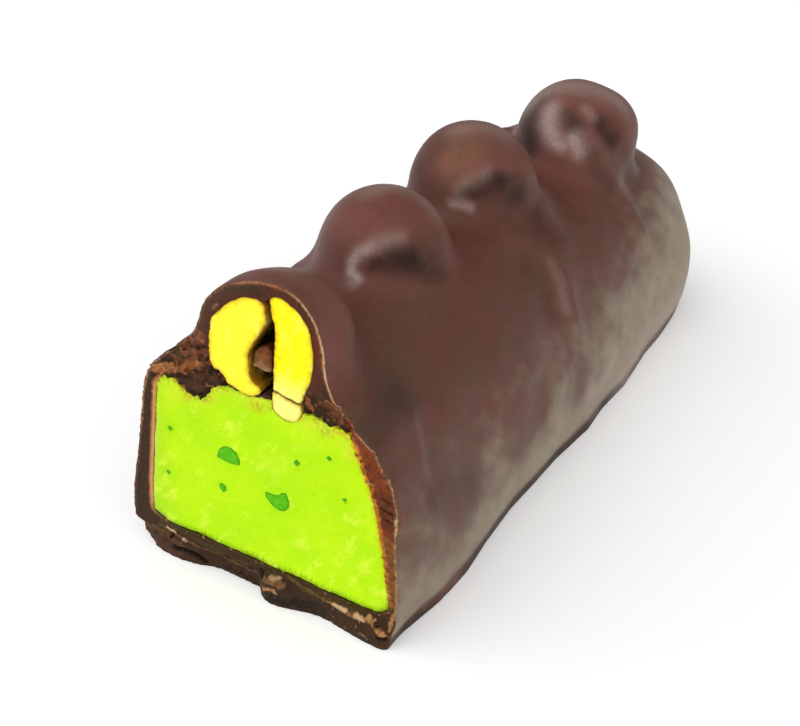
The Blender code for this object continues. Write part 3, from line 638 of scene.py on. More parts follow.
def made(name, points, faces, looks, flat_base=False, second_look=0):
    """An object from points in design millimetres, closed flat at z = 0 if asked. Its first faces, as
    many as second_look says, get the second look."""
    mesh = bpy.data.meshes.new(name)
    mesh.from_pydata(((np.asarray(points) - ORIGIN) * METRES).tolist(), [], faces)
    for look in looks:
        mesh.materials.append(look)
    mesh.polygons.foreach_set("material_index", (np.arange(len(faces)) < second_look).astype(np.int32))
    body = bmesh.new()
    body.from_mesh(mesh)
    if flat_base:
        everything = body.verts[:] + body.edges[:] + body.faces[:]
        bmesh.ops.bisect_plane(
            body, geom=everything, dist=1e-6, plane_co=(0, 0, 0), plane_no=(0, 0, -1), clear_outer=True)
        rim = [edge for edge in body.edges if edge.is_boundary]
        bmesh.ops.triangle_fill(body, edges=rim, use_beauty=True)
    bmesh.ops.recalc_face_normals(body, faces=body.faces)
    body.to_mesh(mesh)
    body.free()
    return shown(name, mesh)


def cut_with(obj, cutters):
    """Cuts each cutter from the object, and removes the cutters."""
    for tool in cutters:
        modifier = obj.modifiers.new(tool.name, "BOOLEAN")
        modifier.operation = "DIFFERENCE"
        modifier.solver = "EXACT"
        modifier.object = tool
    graph = bpy.context.evaluated_depsgraph_get()
    mesh = bpy.data.meshes.new_from_object(obj.evaluated_get(graph))
    obj.modifiers.clear()
    obj.data = mesh
    for tool in cutters:
        bpy.data.objects.remove(tool)


def grown(outline, amount):
    """A closed outline moved outwards by amount, which can differ from point to point."""
    before = outline - np.roll(outline, 1, axis=0)
    after = np.roll(outline, -1, axis=0) - outline
    way = before / np.linalg.norm(before, axis=1)[:, None] + after / np.linalg.norm(after, axis=1)[:, None]
    way /= np.linalg.norm(way, axis=1)[:, None]
    return outline + np.stack([way[:, 1], -way[:, 0]], axis=1) * np.reshape(amount, (-1, 1))


def filling_end(outline):
    """Where the marzipan ends along Y at each point, a wall's thickness inside the coating."""
    low, high = np.full(len(outline), FILLING_FROM), np.full(len(outline), FILLING_TO)
    limit = np.maximum(-END_WALL, THIN_SHARE * body_field(outline[:, 0], low, outline[:, 1]))
    for _ in range(HALVINGS):
        middle = (low + high) / 2
        inside = body_field(outline[:, 0], middle, outline[:, 1]) < limit
        low, high = np.where(inside, middle, low), np.where(inside, high, middle)
    return low


def plug(name, outline, stations, centre, front, step, looks, extra=0.0):
    """A solid of one outline with a worked front face and stations (y, shrink) behind it, y None for
    the marzipan's rounded end."""
    flat, faces = patch(outline, step)
    points = [standing(flat, front(flat[:, 0], flat[:, 1]))]
    before = list(range(len(outline)))
    total = len(flat)
    for y, shrink in stations:
        ring = centre + (outline - centre) * shrink
        depth = filling_end(ring) + extra if y is None else np.full(len(ring), float(y))
        points.append(standing(ring, depth))
        numbers = list(range(total, total + len(ring)))
        faces += joined_rings(before, numbers)
        before = numbers
        total += len(ring)
    faces.append(tuple(before))
    return made(name, np.concatenate(points), faces, looks)


def rounded_front(outline, width, depth, relief):
    """A front whose edge falls back by depth over width, with a relief of its own."""

    def front(x, z):
        return depth * unit(1 + polygon_distance(x, z, outline) / width) ** 2 + relief(x, z)

    return front


def mesh_points(obj):
    flat = np.empty(3 * len(obj.data.vertices))
    obj.data.vertices.foreach_get("co", flat)
    return flat.reshape(-1, 3)


def design_points(obj):
    """The object's vertices in design millimetres, as x, y and z."""
    return (mesh_points(obj) / METRES + ORIGIN).T


def attach(obj, name, values):
    layer = obj.data.attributes.new(name, "FLOAT", "POINT")
    layer.data.foreach_set("value", np.asarray(values, np.float32))


def evened(obj, values, passes):
    """Values at the vertices, averaged with those of their neighbours."""
    ends = np.empty(2 * len(obj.data.edges), np.int32)
    obj.data.edges.foreach_get("vertices", ends)
    start, end = ends.reshape(-1, 2).T
    count = 1 + np.bincount(ends, minlength=len(values))[:, None]
    for _ in range(passes):
        total = values.copy()
        for channel in range(values.shape[1]):
            total[:, channel] += np.bincount(start, values[end, channel], len(values))
            total[:, channel] += np.bincount(end, values[start, channel], len(values))
        values = total / count
    return values


def paint(obj, name, colours):
    rgba = np.concatenate([colours, np.ones((len(colours), 1))], axis=1).astype(np.float32)
    layer = obj.data.attributes.new(name, "FLOAT_COLOR", "POINT")
    layer.data.foreach_set("color", rgba.ravel())


def finished(obj, angle, node):
    """Keeps the piece in its node's box, shades it, and ties it to the frame."""
    low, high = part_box(node)
    obj.data.vertices.foreach_set("co", np.clip(mesh_points(obj), low, high).ravel())
    obj.data.shade_smooth()
    obj.data.set_sharp_from_angle(angle=math.radians(angle))
    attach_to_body(obj, "root")
    return obj


class Look:
    """A material, with short calls for its nodes. Sizes are in millimetres."""

    REFRACTION = 1.5

    def __init__(self, name):
        self.material = bpy.data.materials.new(name)
        self.material.use_nodes = True
        self.tree = self.material.node_tree
        self.tree.nodes.clear()
        self.place = self.node("TexCoord").outputs["Object"]
        self.shader = self.node("BsdfPrincipled", {"IOR": self.REFRACTION})
        self.node("OutputMaterial", {"Surface": self.shader.outputs[0]})

    def node(self, kind, inputs=None, **settings):
        """A new node, with values or other nodes' sockets fed to its inputs by name or number."""
        node = self.tree.nodes.new("ShaderNode" + kind)
        for name, setting in settings.items():
            setattr(node, name, setting)
        self.feed(node, inputs or {})
        return node

    def feed(self, node, inputs):
        for key, value in inputs.items():
            socket = node.inputs[key]
            if isinstance(value, bpy.types.NodeSocket):
                self.tree.links.new(value, socket)
            elif socket.type == "RGBA":
                socket.default_value = (*value, 1)
            else:
                socket.default_value = value

    def times(self, a, b):
        return self.node("Math", {0: a, 1: b}, operation="MULTIPLY").outputs[0]

    def plus(self, a, b):
        return self.node("Math", {0: a, 1: b}, operation="ADD").outputs[0]

    def noise(self, size, detail, roughness, stretch=(1, 1, 1), turn=(0, 0, 0)):
        """Noise from 0 to 1, with features about size across, longer along an axis where stretch is
        above 1."""
        inputs = {"Vector": self.place, "Rotation": turn, "Scale": [s * size * METRES for s in stretch]}
        place = self.node("Mapping", inputs, vector_type="TEXTURE").outputs[0]
        inputs = {"Vector": place, "Scale": 1, "Detail": detail, "Roughness": roughness}
        return self.node("TexNoise", inputs).outputs[0]

    def fade(self, value, low, high):
        """0 at low, 1 at high, smooth between."""
        inputs = {"Value": value, "From Min": low, "From Max": high}
        return self.node("MapRange", inputs, interpolation_type="SMOOTHSTEP").outputs["Result"]

    def mix(self, share, a, b):
        return self.node("Mix", {0: share, 6: a, 7: b}, data_type="RGBA").outputs[2]

    def value(self, colour, texture, contrast, level):
        """A colour made lighter and darker by a texture, times its contrast plus a level."""
        scale = self.plus(self.times(texture, contrast), level)
        return self.node("VectorMath", {0: colour, "Scale": scale}, operation="SCALE").outputs[0]

    def attribute(self, name, output="Fac"):
        return self.node("Attribute", attribute_name=name).outputs[output]

    def done(self, colour, roughness, specular, *bumps):
        """The material, with stacked bumps, each (height from 0 to 1, real height in millimetres)."""
        self.feed(self.shader, {"Base Color": colour, "Roughness": roughness, "Specular IOR Level": specular})
        below = {}
        for height, depth in bumps:
            bump = self.node("Bump", {"Height": height, "Distance": depth * METRES, **below})
            below = {"Normal": bump.outputs[0]}
        self.feed(self.shader, below)
        return self.material


def chocolate_skin():
    look = Look("chocolate_skin")
    colour = look.attribute("skin_tone", "Color")
    red = look.fade(look.noise(9, 3, 0.55, (1, 1.6, 1)), 0.42, 0.66)
    colour = look.mix(look.times(red, 0.42), colour, linear(108, 58, 50))
    dull = look.fade(look.noise(5, 4, 0.6, (1, 1.5, 1), (0.3, 0.5, 0.2)), 0.5, 0.7)
    colour = look.mix(look.times(dull, 0.4), colour, linear(92, 72, 52))
    # painted sheen: greyer, paler chocolate low on the sides and at the end, with a streaky edge, standing in
    # for the floor's reflection
    streaks = look.noise(3.2, 4, 0.6, (1, 3.2, 1), (-0.75, 0, 0))
    pale = look.plus(look.attribute("pale"), look.times(look.plus(streaks, -0.5), 1.7))
    colour = look.mix(look.times(look.fade(pale, -0.3, 1.5), 0.92), colour, linear(150, 137, 117))
    fine = look.noise(1.1, 4, 0.65, (1, 3.0, 1), (-0.75, 0, 0))
    colour = look.value(colour, fine, 0.3, 0.85)
    colour = look.value(colour, look.noise(0.45, 4, 0.7), 0.4, 0.8)
    # painted highlights and sheen, broken into fine grains
    highlight_grain = look.fade(look.noise(0.4, 3, 0.65), 0.4, 0.7)
    painted_highlight = look.times(look.attribute("painted_highlight"), look.plus(look.times(highlight_grain, 0.3), 0.68))
    colour = look.mix(painted_highlight, colour, linear(178, 160, 152))
    roughness = look.plus(look.times(look.noise(5, 4, 0.6), 0.22), 0.36)
    return look.done(
        colour, roughness, 0.12,
        (look.noise(3.2, 3, 0.5), 0.08), (look.noise(0.7, 4, 0.6), 0.03), (fine, 0.02))


def broken_chocolate():
    look = Look("broken_chocolate")
    colour = look.value(look.attribute("tone", "Color"), look.noise(0.4, 4, 0.7), 0.6, 0.7)
    return look.done(colour, 0.6, 0.08, (look.noise(0.9, 4, 0.65), 0.16), (look.noise(0.25, 2, 0.6), 0.04))


def marzipan_paste():
    look = Look("marzipan_paste")
    colour = look.attribute("tone", "Color")
    green = look.fade(look.noise(5, 3, 0.55), 0.4, 0.66)
    colour = look.mix(look.times(green, 0.4), colour, linear(160, 222, 14))
    flecks = look.fade(look.noise(1.5, 4, 0.62, (1, 1, 2.2), (0, 0.6, 0)), 0.52, 0.68)
    broad = look.fade(look.noise(4.5, 2, 0.5), 0.35, 0.65)
    flecks = look.times(flecks, look.plus(look.times(broad, 0.55), 0.15))
    colour = look.mix(flecks, colour, linear(222, 238, 72))
    shadows = look.fade(look.noise(0.8, 3, 0.65, (1, 1, 1), (0.4, 0.2, 0.9)), 0.58, 0.72)
    colour = look.mix(look.times(shadows, 0.35), colour, linear(150, 206, 8))
    return look.done(colour, 0.65, 0.05, (look.noise(1.6, 4, 0.6), 0.12), (look.noise(0.4, 3, 0.6), 0.035))


def nut_flesh():
    look = Look("hazelnut_flesh")
    fibres = look.noise(1.0, 4, 0.6, (1, 1, 2.6))
    bright = look.times(look.fade(fibres, 0.5, 0.75), 0.35)
    colour = look.mix(bright, look.attribute("tone", "Color"), linear(255, 255, 120))
    colour = look.value(colour, look.noise(0.6, 3, 0.6), 0.16, 0.92)
    return look.done(colour, 0.5, 0.1, (fibres, 0.08), (look.noise(0.4, 3, 0.6), 0.03))


def pistachio():
    look = Look("pistachio")
    colour = look.mix(look.attribute("edge"), linear(78, 176, 12), linear(44, 128, 6))
    lighter = look.times(look.fade(look.noise(0.6, 3, 0.6), 0.4, 0.7), 0.5)
    colour = look.mix(lighter, colour, linear(118, 200, 6))
    return look.done(colour, 0.5, 0.08, (look.noise(0.5, 3, 0.6), 0.05))


def pale_floor():
    look = Look("pale_floor")
    look.feed(look.shader, {"Emission Color": (1, 1, 1), "Emission Strength": FLOOR_GLOW})
    colour = look.value(linear(254, 254, 254), look.noise(60, 2, 0.5), 0.02, 0.96)
    return look.done(colour, 0.7, 0.2, (look.noise(0.8, 2, 0.5), 0.01))


def layered(tone, *layers):
    """Colours with others laid over them in turn, each with the share that it covers."""
    for colour, share in layers:
        tone = tone + (np.asarray(colour) - tone) * unit(share)[:, None]
    return tone


def painted(tone, place, marks, rough, soft=0.7):
    """Colours with marks laid over them one by one, each as radius, colour, amount and a line. Rough,
    about -1 to 1, breaks up their edges, which fade over a share of the radius."""
    for radius, colour, amount, *line in marks:
        reach = line_distance(place, line) / radius
        share = smooth(unit((1 + soft / 2 - reach + 0.25 * rough) / soft))
        tone = layered(tone, (colour, amount * (share * np.clip(0.95 + 0.35 * rough, 0.2, 1))))
    return tone


# The cut: the marzipan, the hollow round the nut, and what lies in it
MARZIPAN_STATIONS = tuple((None, shrink) for shrink in MARZIPAN_END_RINGS)
HOLLOW_STATIONS = NUT_STATIONS[1:-1] + ((9.4, 0.36),)
BIT_SCALE = 1.35

paste_outline = resampled(MARZIPAN_CORNERS, 0.25, 4)
ragged = 0.03 + 0.1 * plateau(paste_outline[:, 1], 22.5, 40, 2)
paste_outline = grown(paste_outline, ragged * small_break(*paste_outline.T) + 0.02)
hollow_outline = resampled(NUT_HOLLOW, 0.25, 3)

skin, broken, paste, flesh = chocolate_skin(), broken_chocolate(), marzipan_paste(), nut_flesh()
pistachio_look = pistachio()

# Cutters start well ahead of the cut, and need few points in their flat fronts
AHEAD, COARSE_STEP = -6.0, 3.0
# The cut's edges are painted this far behind it, along an outline of so many spokes. FAR stands for
# being away from all of them
EDGES_TO, EDGE_SPOKES, FAR = 1.5, 240, 9.0


def ahead(x, z):
    return np.full(np.shape(x), AHEAD)


def cutter(name, outline, stations, centre, extra=0.0):
    """A plug to cut with, whose every face gets the look of broken chocolate."""
    obj = plug(name, outline, stations, centre, ahead, COARSE_STEP, (skin, broken), extra)
    obj.data.polygons.foreach_set("material_index", np.ones(len(obj.data.polygons), np.int32))
    return obj


def cut_tone(x, y, z):
    """The colours of the broken chocolate, with painted shade in its pits and deep in its hollows."""
    small, crumb = small_break(x, z), crumb_break(x, z)
    tone = painted(np.tile(COCOA, (len(x), 1)), (x, z), CUT_MARKS, small + 0.6 * crumb)
    # how deep each point near the cut lies from the outside and from the hollows
    near = (y < EDGES_TO) & (z > -0.1)
    outer, inner = np.full(len(x), FAR), np.full(len(x), FAR)
    outer[near] = -polygon_distance(x[near], z[near], ring_at(0, ring_ways(EDGE_SPOKES))[:, (0, 2)])
    filled = polygon_distance(x[near], z[near], paste_outline)
    inner[near] = np.abs(np.minimum(filled, polygon_distance(x[near], z[near], hollow_outline)))
    ragged = zone(x, z, (-11.5, -3.4, 1.2), (25.0, 31.4, 1.2)) + zone(x, z, (5.6, 11.6, 1), (25, 29, 1))
    right = zone(x, z, (11.8, 40, 1.5), (4.6, 27, 2.0))
    ledge = ledges(x, z)
    tone = layered(
        tone,
        (MAROON, plateau(z, 29.5, 41, 1.5) * edging(inner, 1.5, 0.6, 0.3 * small) * 0.8),
        (DARK, ragged * unit(-small * 1.4 - 0.5) * 0.8),
        (ORANGE, ragged * unit(small * 1.4 - 0.9) * 0.8),
        (RUST, right * plateau(ledge, 0.72, 1.2, 0.3) * 0.6),
        (MAROON, right * plateau(ledge, -0.5, 0.22, 0.25) * 0.5))
    # crushed edges: tan outside, partly a painted highlight where the outer edge catches the light; buff and
    # gold beside the marzipan; below it a dark mossy band, painted shade under the marzipan's edge
    rough = unit(0.75 + 0.3 * small + 0.35 * crumb)
    outside = 0.15 + 0.75 * zone(x, z, (-1.0, 10.5, 3.0), (26, 60, 3)) + 0.35 * right
    outside += 0.3 * zone(x, z, (-20, -12, 2), (17, 28, 3))
    beside = edging(inner, 1.6, 0.35) * rough
    torn = zone(x, z, (-10.6, -5.4, 1.5), (26.6, 31, 1)) + zone(x, z, (8.5, 20, 2), (0.5, 3.4, 0.6))
    torn += plateau(z, 0, 5, 1) * edging(inner, 1.6, 0.5)
    torn += zone(x, z, (-11, 12, 1), (22, 28, 1)) * edging(inner, 1.6, 0.4)
    return layered(
        tone,
        (CRUSHED_EDGE_AND_HIGHLIGHT, edging(outer, 1.7, 0.34) * outside * rough),
        (PALE_TAN, edging(outer, 1.7, 0.24) * outside * rough * plateau(z, 5, 39.6, 1.5)),
        (BUFF, zone(x, z, (-20, -12.6, 1), (5.5, 25.4, 2)) * edging(inner, 1.6, 0.4)),
        (PALE_TAN, zone(x, z, (-20, -12.6, 1), (5.0, 25.0, 2)) * beside * 0.3),
        (GOLD, zone(x, z, (11.2, 20, 1), (5.0, 25.5, 2)) * beside * unit(0.3 + z / 26)),
        (MOSS_SHADE, edging(inner, 1.4, 0.3) * plateau(z, 0, 6, 2) * 0.7),
        (TAN, unit((crumb + 1.1 * small - 1.8) * 1.6) * unit(torn) * 0.8),
        # painted shade, darker the deeper the hollows behind the cut go
        (RECESS_SHADE, unit((y - np.where(near, cut_relief(x, z), 0) - 0.3) / 2.0) * (y < 60)))


# The outside: its tones, and where they show as radius, colour, amount and a line of (x, y, z)
TOP_SKIN, MID_SKIN, LOW_SKIN = linear(110, 68, 59), linear(96, 63, 53), linear(100, 76, 62)
# painted shade: the toe tone darkens the foot, the hollow tone the dents, creases and valleys round the lumps
TOE_SHADE, HOLLOW_SHADE, WINE = linear(46, 34, 27), linear(40, 25, 19), linear(80, 44, 37)
GREEN_GREY, AMBER = linear(66, 52, 41), linear(130, 86, 64)
SKIN_MARKS = (
    # the first lump and the wall near the cut
    (2.6, GREEN_GREY, 0.7, (12.5, 1, 27.5), (13, 8, 27)),
    (1.6, WINE, 0.8, (16.8, 4, 26), (17.6, 14, 25.5), (17.8, 25, 24.8)),
    (2.2, WINE, 0.5, (17.9, 7, 16), (18, 15, 12), (18.2, 16.5, 8)),
    # a painted highlight along the coating's edge at the cut
    (0.7, AMBER, 0.5, (17.5, 0.4, 24), (17.9, 0.5, 14), (18, 0.5, 6)),
    (4, AMBER, 0.35, (1.9, 3.1, 40), (4.8, 4.5, 38.9)),
    # the second lump
    (1, WINE, 0.7, (1.6, 19.7, 33), (4, 21, 32.6), (6.5, 23.5, 31.6)),
    (0.8, HOLLOW_SHADE, 1, (1.9, 19.9, 33.5), (3, 20.7, 33.8), (3.9, 21.3, 33.9)),
    (1.2, HOLLOW_SHADE, 1, (3.5, 21, 33.8), (4.5, 21.9, 33.8), (5.3, 23, 33.4)),
    (1.6, HOLLOW_SHADE, 0.6, (5.2, 23, 33.4), (6.8, 25.2, 31.8)),
    (1.6, HOLLOW_SHADE, 0.3, (4.2, 22.4, 34.9), (5.4, 24.3, 35), (6.3, 26, 33.9)),
    (2.6, WINE, 0.5, (-6.5, 21.5, 32.5), (-5.4, 20.7, 32.9), (-1.2, 18.9, 32.6)),
    (1.8, WINE, 0.4, (-1, 18.5, 32), (0.7, 17.3, 31.1), (3.1, 14.1, 30.8)),
    # the third
    (0.7, HOLLOW_SHADE, 1, (1.6, 39.7, 34), (2.9, 40.4, 34.6), (4.2, 41.7, 35.3), (5.3, 43.4, 35.8)),
    (1.2, HOLLOW_SHADE, 1, (3.4, 40.8, 34.4), (4.6, 41.9, 34.9), (5.5, 43.1, 35.2)),
    (1.6, HOLLOW_SHADE, 0.75, (5.2, 42.6, 34.9), (6.2, 43.8, 34.6), (7, 45.3, 33.8)),
    (1.7, HOLLOW_SHADE, 0.55, (7, 45.3, 33.6), (7.7, 47, 31.4), (9.1, 47.9, 29.2), (11.3, 48.1, 27.5)),
    (1.6, WINE, 0.5, (11.9, 40.1, 26.9), (13.8, 41.1, 24.6), (15.1, 39.6, 22.3)),
    (2.6, AMBER, 0.5, (-1.5, 40.5, 35.5), (0.5, 41.5, 37.5), (-0.5, 46, 40)),
    (1.8, WINE, 0.6, (-5.6, 42.5, 35.5), (-3, 39.9, 34.3), (-1.3, 39.5, 34.2)),
    (3, HOLLOW_SHADE, 0.5, (-4.4, 40.5, 34.1), (-4.8, 41.6, 36), (-4.6, 43.4, 37.5)),
    (2.2, HOLLOW_SHADE, 0.35, (4.4, 38, 30.6), (5.6, 40.9, 31.1), (6.5, 42.9, 31.6)),
    # the fourth
    (2.6, HOLLOW_SHADE, 0.9, (-0.3, 61.9, 33.2), (-1.5, 63.9, 34.9), (-2.1, 66.5, 36.2)),
    (1.9, HOLLOW_SHADE, 0.65, (1.1, 61.4, 34), (0, 63, 35.8), (0, 65.1, 37.5)),
    (1.4, HOLLOW_SHADE, 1, (4.9, 62.9, 37.3), (6.4, 62.8, 36.5)),
    (1.5, HOLLOW_SHADE, 0.95, (9.4, 65.3, 36.5), (10.2, 65.8, 35.6), (11, 66.3, 34.4)),
    (1, HOLLOW_SHADE, 0.35, (8.8, 62.5, 33.7), (10.1, 63.3, 31.1), (11.3, 64.6, 28.3)),
    (1.8, HOLLOW_SHADE, 0.35, (10.4, 65, 34.6), (11.8, 67.2, 31.5), (12, 73.1, 26.8)),
    (1.3, WINE, 0.6, (7.2, 56.3, 29.9), (9.8, 55.6, 28.7), (11.4, 55.2, 27.4)),
    (1.8, WINE, 0.5, (14.6, 50.9, 23.2), (15.3, 50.2, 21.7)),
    (0.9, HOLLOW_SHADE, 0.5, (17.4, 71.9, 13.2), (17.6, 71.9, 10.7)),
    (2.6, WINE, 0.4, (17.5, 33, 14), (17.6, 36, 12.5)),
)
# How high up the sides the painted sheen reaches: y, angle
PALE_EDGE = (
    (0, -38), (8, -34), (15, -34), (20, -25), (30, -27), (38, -14), (46, -24), (60, -12), (68, 0), (75, 14),
    (85, 26), (98, 30),
)
# Where the pale zone stays red, on either side: y, angle, and its reach in each
RED_TONGUES = (
    (14, -23, 4, 11), (31, -19, 6, 9), (31, -27, 4, 6), (46, -30, 2.5, 7),
)

# Painted highlights and sheen on the outside, as light streaks: radius, amount and a line of (x, y, z)
PAINTED_HIGHLIGHTS = (
    (3, 0.45, (17.5, 60, 2), (17.4, 68.4, 2.7), (17, 81.6, 3.4), (14, 92, 4)),
    (2.2, 0.4, (17.5, 49, 5), (17.5, 56, 6.5)),
    (0.6, 0.75, (0.6, 18.6, 31.9), (-0.4, 18.8, 32.4), (-0.6, 19.3, 33.3), (-0.1, 19.8, 34.3),
     (1, 20.5, 35.1)),
    (0.7, 0.4, (1, 20.5, 35.1), (2.3, 21.5, 35.8), (3.6, 23, 36)),
    (0.3, 0.35, (14.3, 8, 24.1), (16.4, 6.6, 19.4), (17.7, 7.7, 9.9)),
    (0.25, 0.3, (17, 5, 17.5), (17.7, 5.6, 9), (17.8, 5.2, 5)),
    (0.25, 0.25, (17.2, 3.2, 16), (17.6, 4.2, 8), (17.6, 3.6, 4.5)),
    (0.25, 0.25, (17.3, 6.6, 15), (17.8, 6.9, 7)),
    (1.4, 0.4, (-2.3, 26.2, 38.7), (-0.7, 28.9, 38.7), (1.7, 30.2, 37.8), (4.1, 29.7, 36.5)),
    (0.45, 0.7, (1, 39.2, 33.1), (2.3, 39.7, 33), (3.3, 40.1, 32.7)),
    (0.6, 0.35, (1.4, 39.9, 34.8), (2.8, 41, 35.9), (4.1, 42.4, 36.6)),
    (2, 0.35, (-1.9, 46.3, 39.9), (0.1, 47.9, 40.1), (2.8, 49.3, 39.2)),
    (0.7, 0.25, (12.4, 43.6, 26.4), (14.3, 43.5, 23.8), (15.7, 42.9, 20.9)),
    (0.8, 0.25, (6.8, 50.1, 34.1), (6.9, 53.1, 30.3), (9.1, 50.6, 29.1), (11.4, 49.1, 27.4)),
    (1.4, 0.7, (2.4, 63.6, 37.6), (3, 62, 36.2), (4, 61.1, 34.9)),
    (1, 0.7, (4.2, 61, 34.4), (5.6, 61, 34)),
    (1.1, 0.7, (6.8, 61.8, 35), (7.8, 61.7, 33.5)),
    (0.8, 0.35, (6.9, 65.1, 38.2), (7.9, 64.8, 37.4)),
    (0.4, 0.6, (9.2, 63.5, 34.6), (10.5, 64.2, 32.5), (11.6, 66.2, 29.4), (12.6, 68.2, 26.3),
     (14.4, 67.9, 23.6)),
    (2.2, 0.5, (-1.2, 66.2, 37.2), (0.5, 67.4, 38.7), (3.2, 68.1, 39.6), (7.2, 70.1, 38.9), (8.9, 72, 37.2)),
)
# Closer to the middle than this, the angle up from the bar's axis is taken as if this far out
ANGLE_FROM = 9.0


def coating():
    points, faces, cut_faces = coating_mesh()
    obj = made("coating", points, faces, (skin, broken), True, cut_faces)
    cut_with(obj, [
        cutter("filling", grown(paste_outline, 0.03), MARZIPAN_STATIONS, MARZIPAN_MIDDLE, 0.1),
        cutter("hollow", hollow_outline, HOLLOW_STATIONS, NUT_MIDDLE),
    ])
    x, y, z = place = design_points(obj)
    paint(obj, "tone", cut_tone(x, y, z))
    # the outside, painted by its length and by the angle up from the bar's axis on either side
    angle = np.degrees(np.arctan2(z - AXIS_HEIGHT, np.maximum(np.abs(x), ANGLE_FROM)))
    swell = broad_break(y / 2, angle / 6)
    tone = layered(
        np.tile(MID_SKIN, (len(x), 1)),
        (LOW_SKIN, (12 - angle + 8 * swell) / 30),
        (TOP_SKIN, plateau(z, 32, 60, 4) * (0.8 + 0.3 * swell)))
    tone = evened(obj, painted(tone, place, SKIN_MARKS, 0.35 * swell, 1.3), 2)
    # a dark toe along the foot, painted contact shade
    toe_shade_top = 1.5 + 0.9 * np.sin(y / 4.1 + 2.6 * np.sin(y / 9.3)) + 0.5 * swell
    paint(obj, "skin_tone", layered(tone, (TOE_SHADE, plateau(z, -3, toe_shade_top, 1.2) * 0.9)))
    # painted sheen, a paler zone low on the sides standing in for the floor's reflection
    edge = np.interp(y, *np.transpose(PALE_EDGE)) + 4 * swell
    pale = np.clip((edge - angle) / 40 + 0.5, -0.5, 1.2) + 0.3 * plateau(z, 2.2, 6.0, 2.0)
    # it is weaker on the far side and at the closed end
    pale -= 0.75 * np.maximum(unit(-x / 6), unit((y - 87) / 9))
    for middle, level, length, width in RED_TONGUES:
        pale -= 0.8 * np.exp(-((y - middle) / length) ** 2 - ((angle - level) / width) ** 2)
    attach(obj, "pale", pale - 1.5 * plateau(z, -3, 1.6, 1.0))
    # painted highlights and sheen along the lines listed above
    painted_highlight = np.zeros(len(x))
    for radius, amount, *line in PAINTED_HIGHLIGHTS:
        painted_highlight = np.maximum(painted_highlight, amount * ridge(place, line, radius))
    attach(obj, "painted_highlight", evened(obj, painted_highlight[:, None], 2)[:, 0])
    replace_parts(finished(obj, 38, "chocolate_coating"), "chocolate_coating")


# Marzipan, from its shaded foot to its yellow edges
PASTE, PASTE_LOW, PASTE_LEFT = linear(186, 231, 18), linear(176, 225, 16), linear(170, 214, 34)
YELLOWED, BROWNED, CHALKY = linear(206, 204, 52), linear(160, 110, 46), linear(196, 206, 130)
AMBERED, SHADED = linear(222, 176, 40), linear(84, 100, 10)
# Stains on the cut marzipan: (x, z), radius, colour, amount
STAINS = (
    ((-8.5, 20.5), 2.8, linear(146, 216, 14), 0.6), ((-1, 22.3), 2, linear(154, 222, 14), 0.5),
    ((2.4, 14.1), 2.2, linear(140, 216, 6), 0.6), ((-4.1, 17.4), 2, linear(150, 218, 8), 0.4),
    ((-5.1, 12.8), 1, linear(146, 216, 10), 0.6), ((-11.9, 18.2), 0.9, linear(140, 206, 10), 0.7),
    ((-12.8, 11.9), 0.8, linear(140, 206, 16), 0.6), ((4.9, 20), 0.9, linear(146, 210, 8), 0.6),
    ((0.1, 25.2), 0.7, linear(190, 120, 40), 0.8), ((-9.3, 23.2), 0.6, linear(200, 150, 50), 0.7),
    ((-6.4, 24.3), 0.6, linear(190, 160, 50), 0.6), ((8.3, 25.3), 0.9, linear(150, 150, 40), 0.5),
    ((10.85, 17.3), 0.25, linear(70, 120, 10), 0.9), ((-11.8, 22.6), 1.6, linear(214, 226, 50), 0.6),
    ((1.9, 25.6), 0.4, linear(180, 110, 50), 0.7),
)


def paste_relief(x, z):
    return 0.06 * paste_swell(x, z) + 0.02 * paste_grain(x, z)


def marzipan():
    front = rounded_front(paste_outline, 0.35, 0.18, paste_relief)
    obj = plug(
        "marzipan_filling", paste_outline, MARZIPAN_STATIONS, MARZIPAN_MIDDLE, front, PASTE_STEP, (paste,))
    wide = grown(hollow_outline, 0.05)
    cut_with(obj, [plug("hollow", wide, HOLLOW_STATIONS, NUT_MIDDLE, ahead, COARSE_STEP, (paste,))])
    x, y, z = design_points(obj)
    edge = np.abs(polygon_distance(x, z, paste_outline))
    crumb = crumb_break(x, z)
    crumbs = unit(0.45 + 0.5 * small_break(x, z) + 0.4 * crumb)
    top = unit((z - 21.5) / 2.5)
    side = unit((-x - 11) / 2) * unit((22 - z) / 6)
    tone = layered(
        np.tile(PASTE, (len(x), 1)),
        (PASTE_LOW, unit((10 - z) / 6) * unit((4 - x) / 10)),
        (PASTE_LEFT, unit((-11.5 - x) / 2.5) * 0.8),
        (YELLOWED, top * crumbs * edging(edge, 1.5, 1.3)),
        (BROWNED, top * unit(crumbs - 0.4) * edging(edge, 1.3, 0.45) * 1.4),
        (CHALKY, side * edging(edge, 1.4, 0.4) * 0.7),
        (AMBERED, unit((x - 9) / 3) * crumbs * edging(edge, 1.4, 0.4)),
        (SHADED, unit((7 - z) / 2) * edging(edge, 1.1, 0.85, 0.25 * crumb) * 0.95))
    for (a, b), radius, colour, amount in STAINS:
        near = np.exp(-((x - a) ** 2 + (z - b) ** 2) / radius ** 2) * (0.7 + 0.5 * crumb)
        tone = layered(tone, (colour, near * amount))
    paint(obj, "tone", tone)
    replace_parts(finished(obj, 40, "marzipan"), "marzipan")


# The nut: centre, margin and lower end, and the height its lower end's tone starts at
YELLOW = (linear(240, 238, 50), linear(226, 160, 8), linear(236, 226, 30), 27.2)
DEEP_YELLOW = (linear(238, 236, 12), linear(226, 160, 6), linear(240, 236, 116), 30.4)
CREAMY = (linear(240, 237, 130), linear(232, 220, 70), linear(238, 232, 110), 25.6)
BROWN = (linear(142, 84, 42), linear(110, 64, 36), PALE_TAN, 31.1)
NUT_RIM, NUT_SKIN_AND_SHADE = linear(140, 74, 18), linear(58, 30, 10)


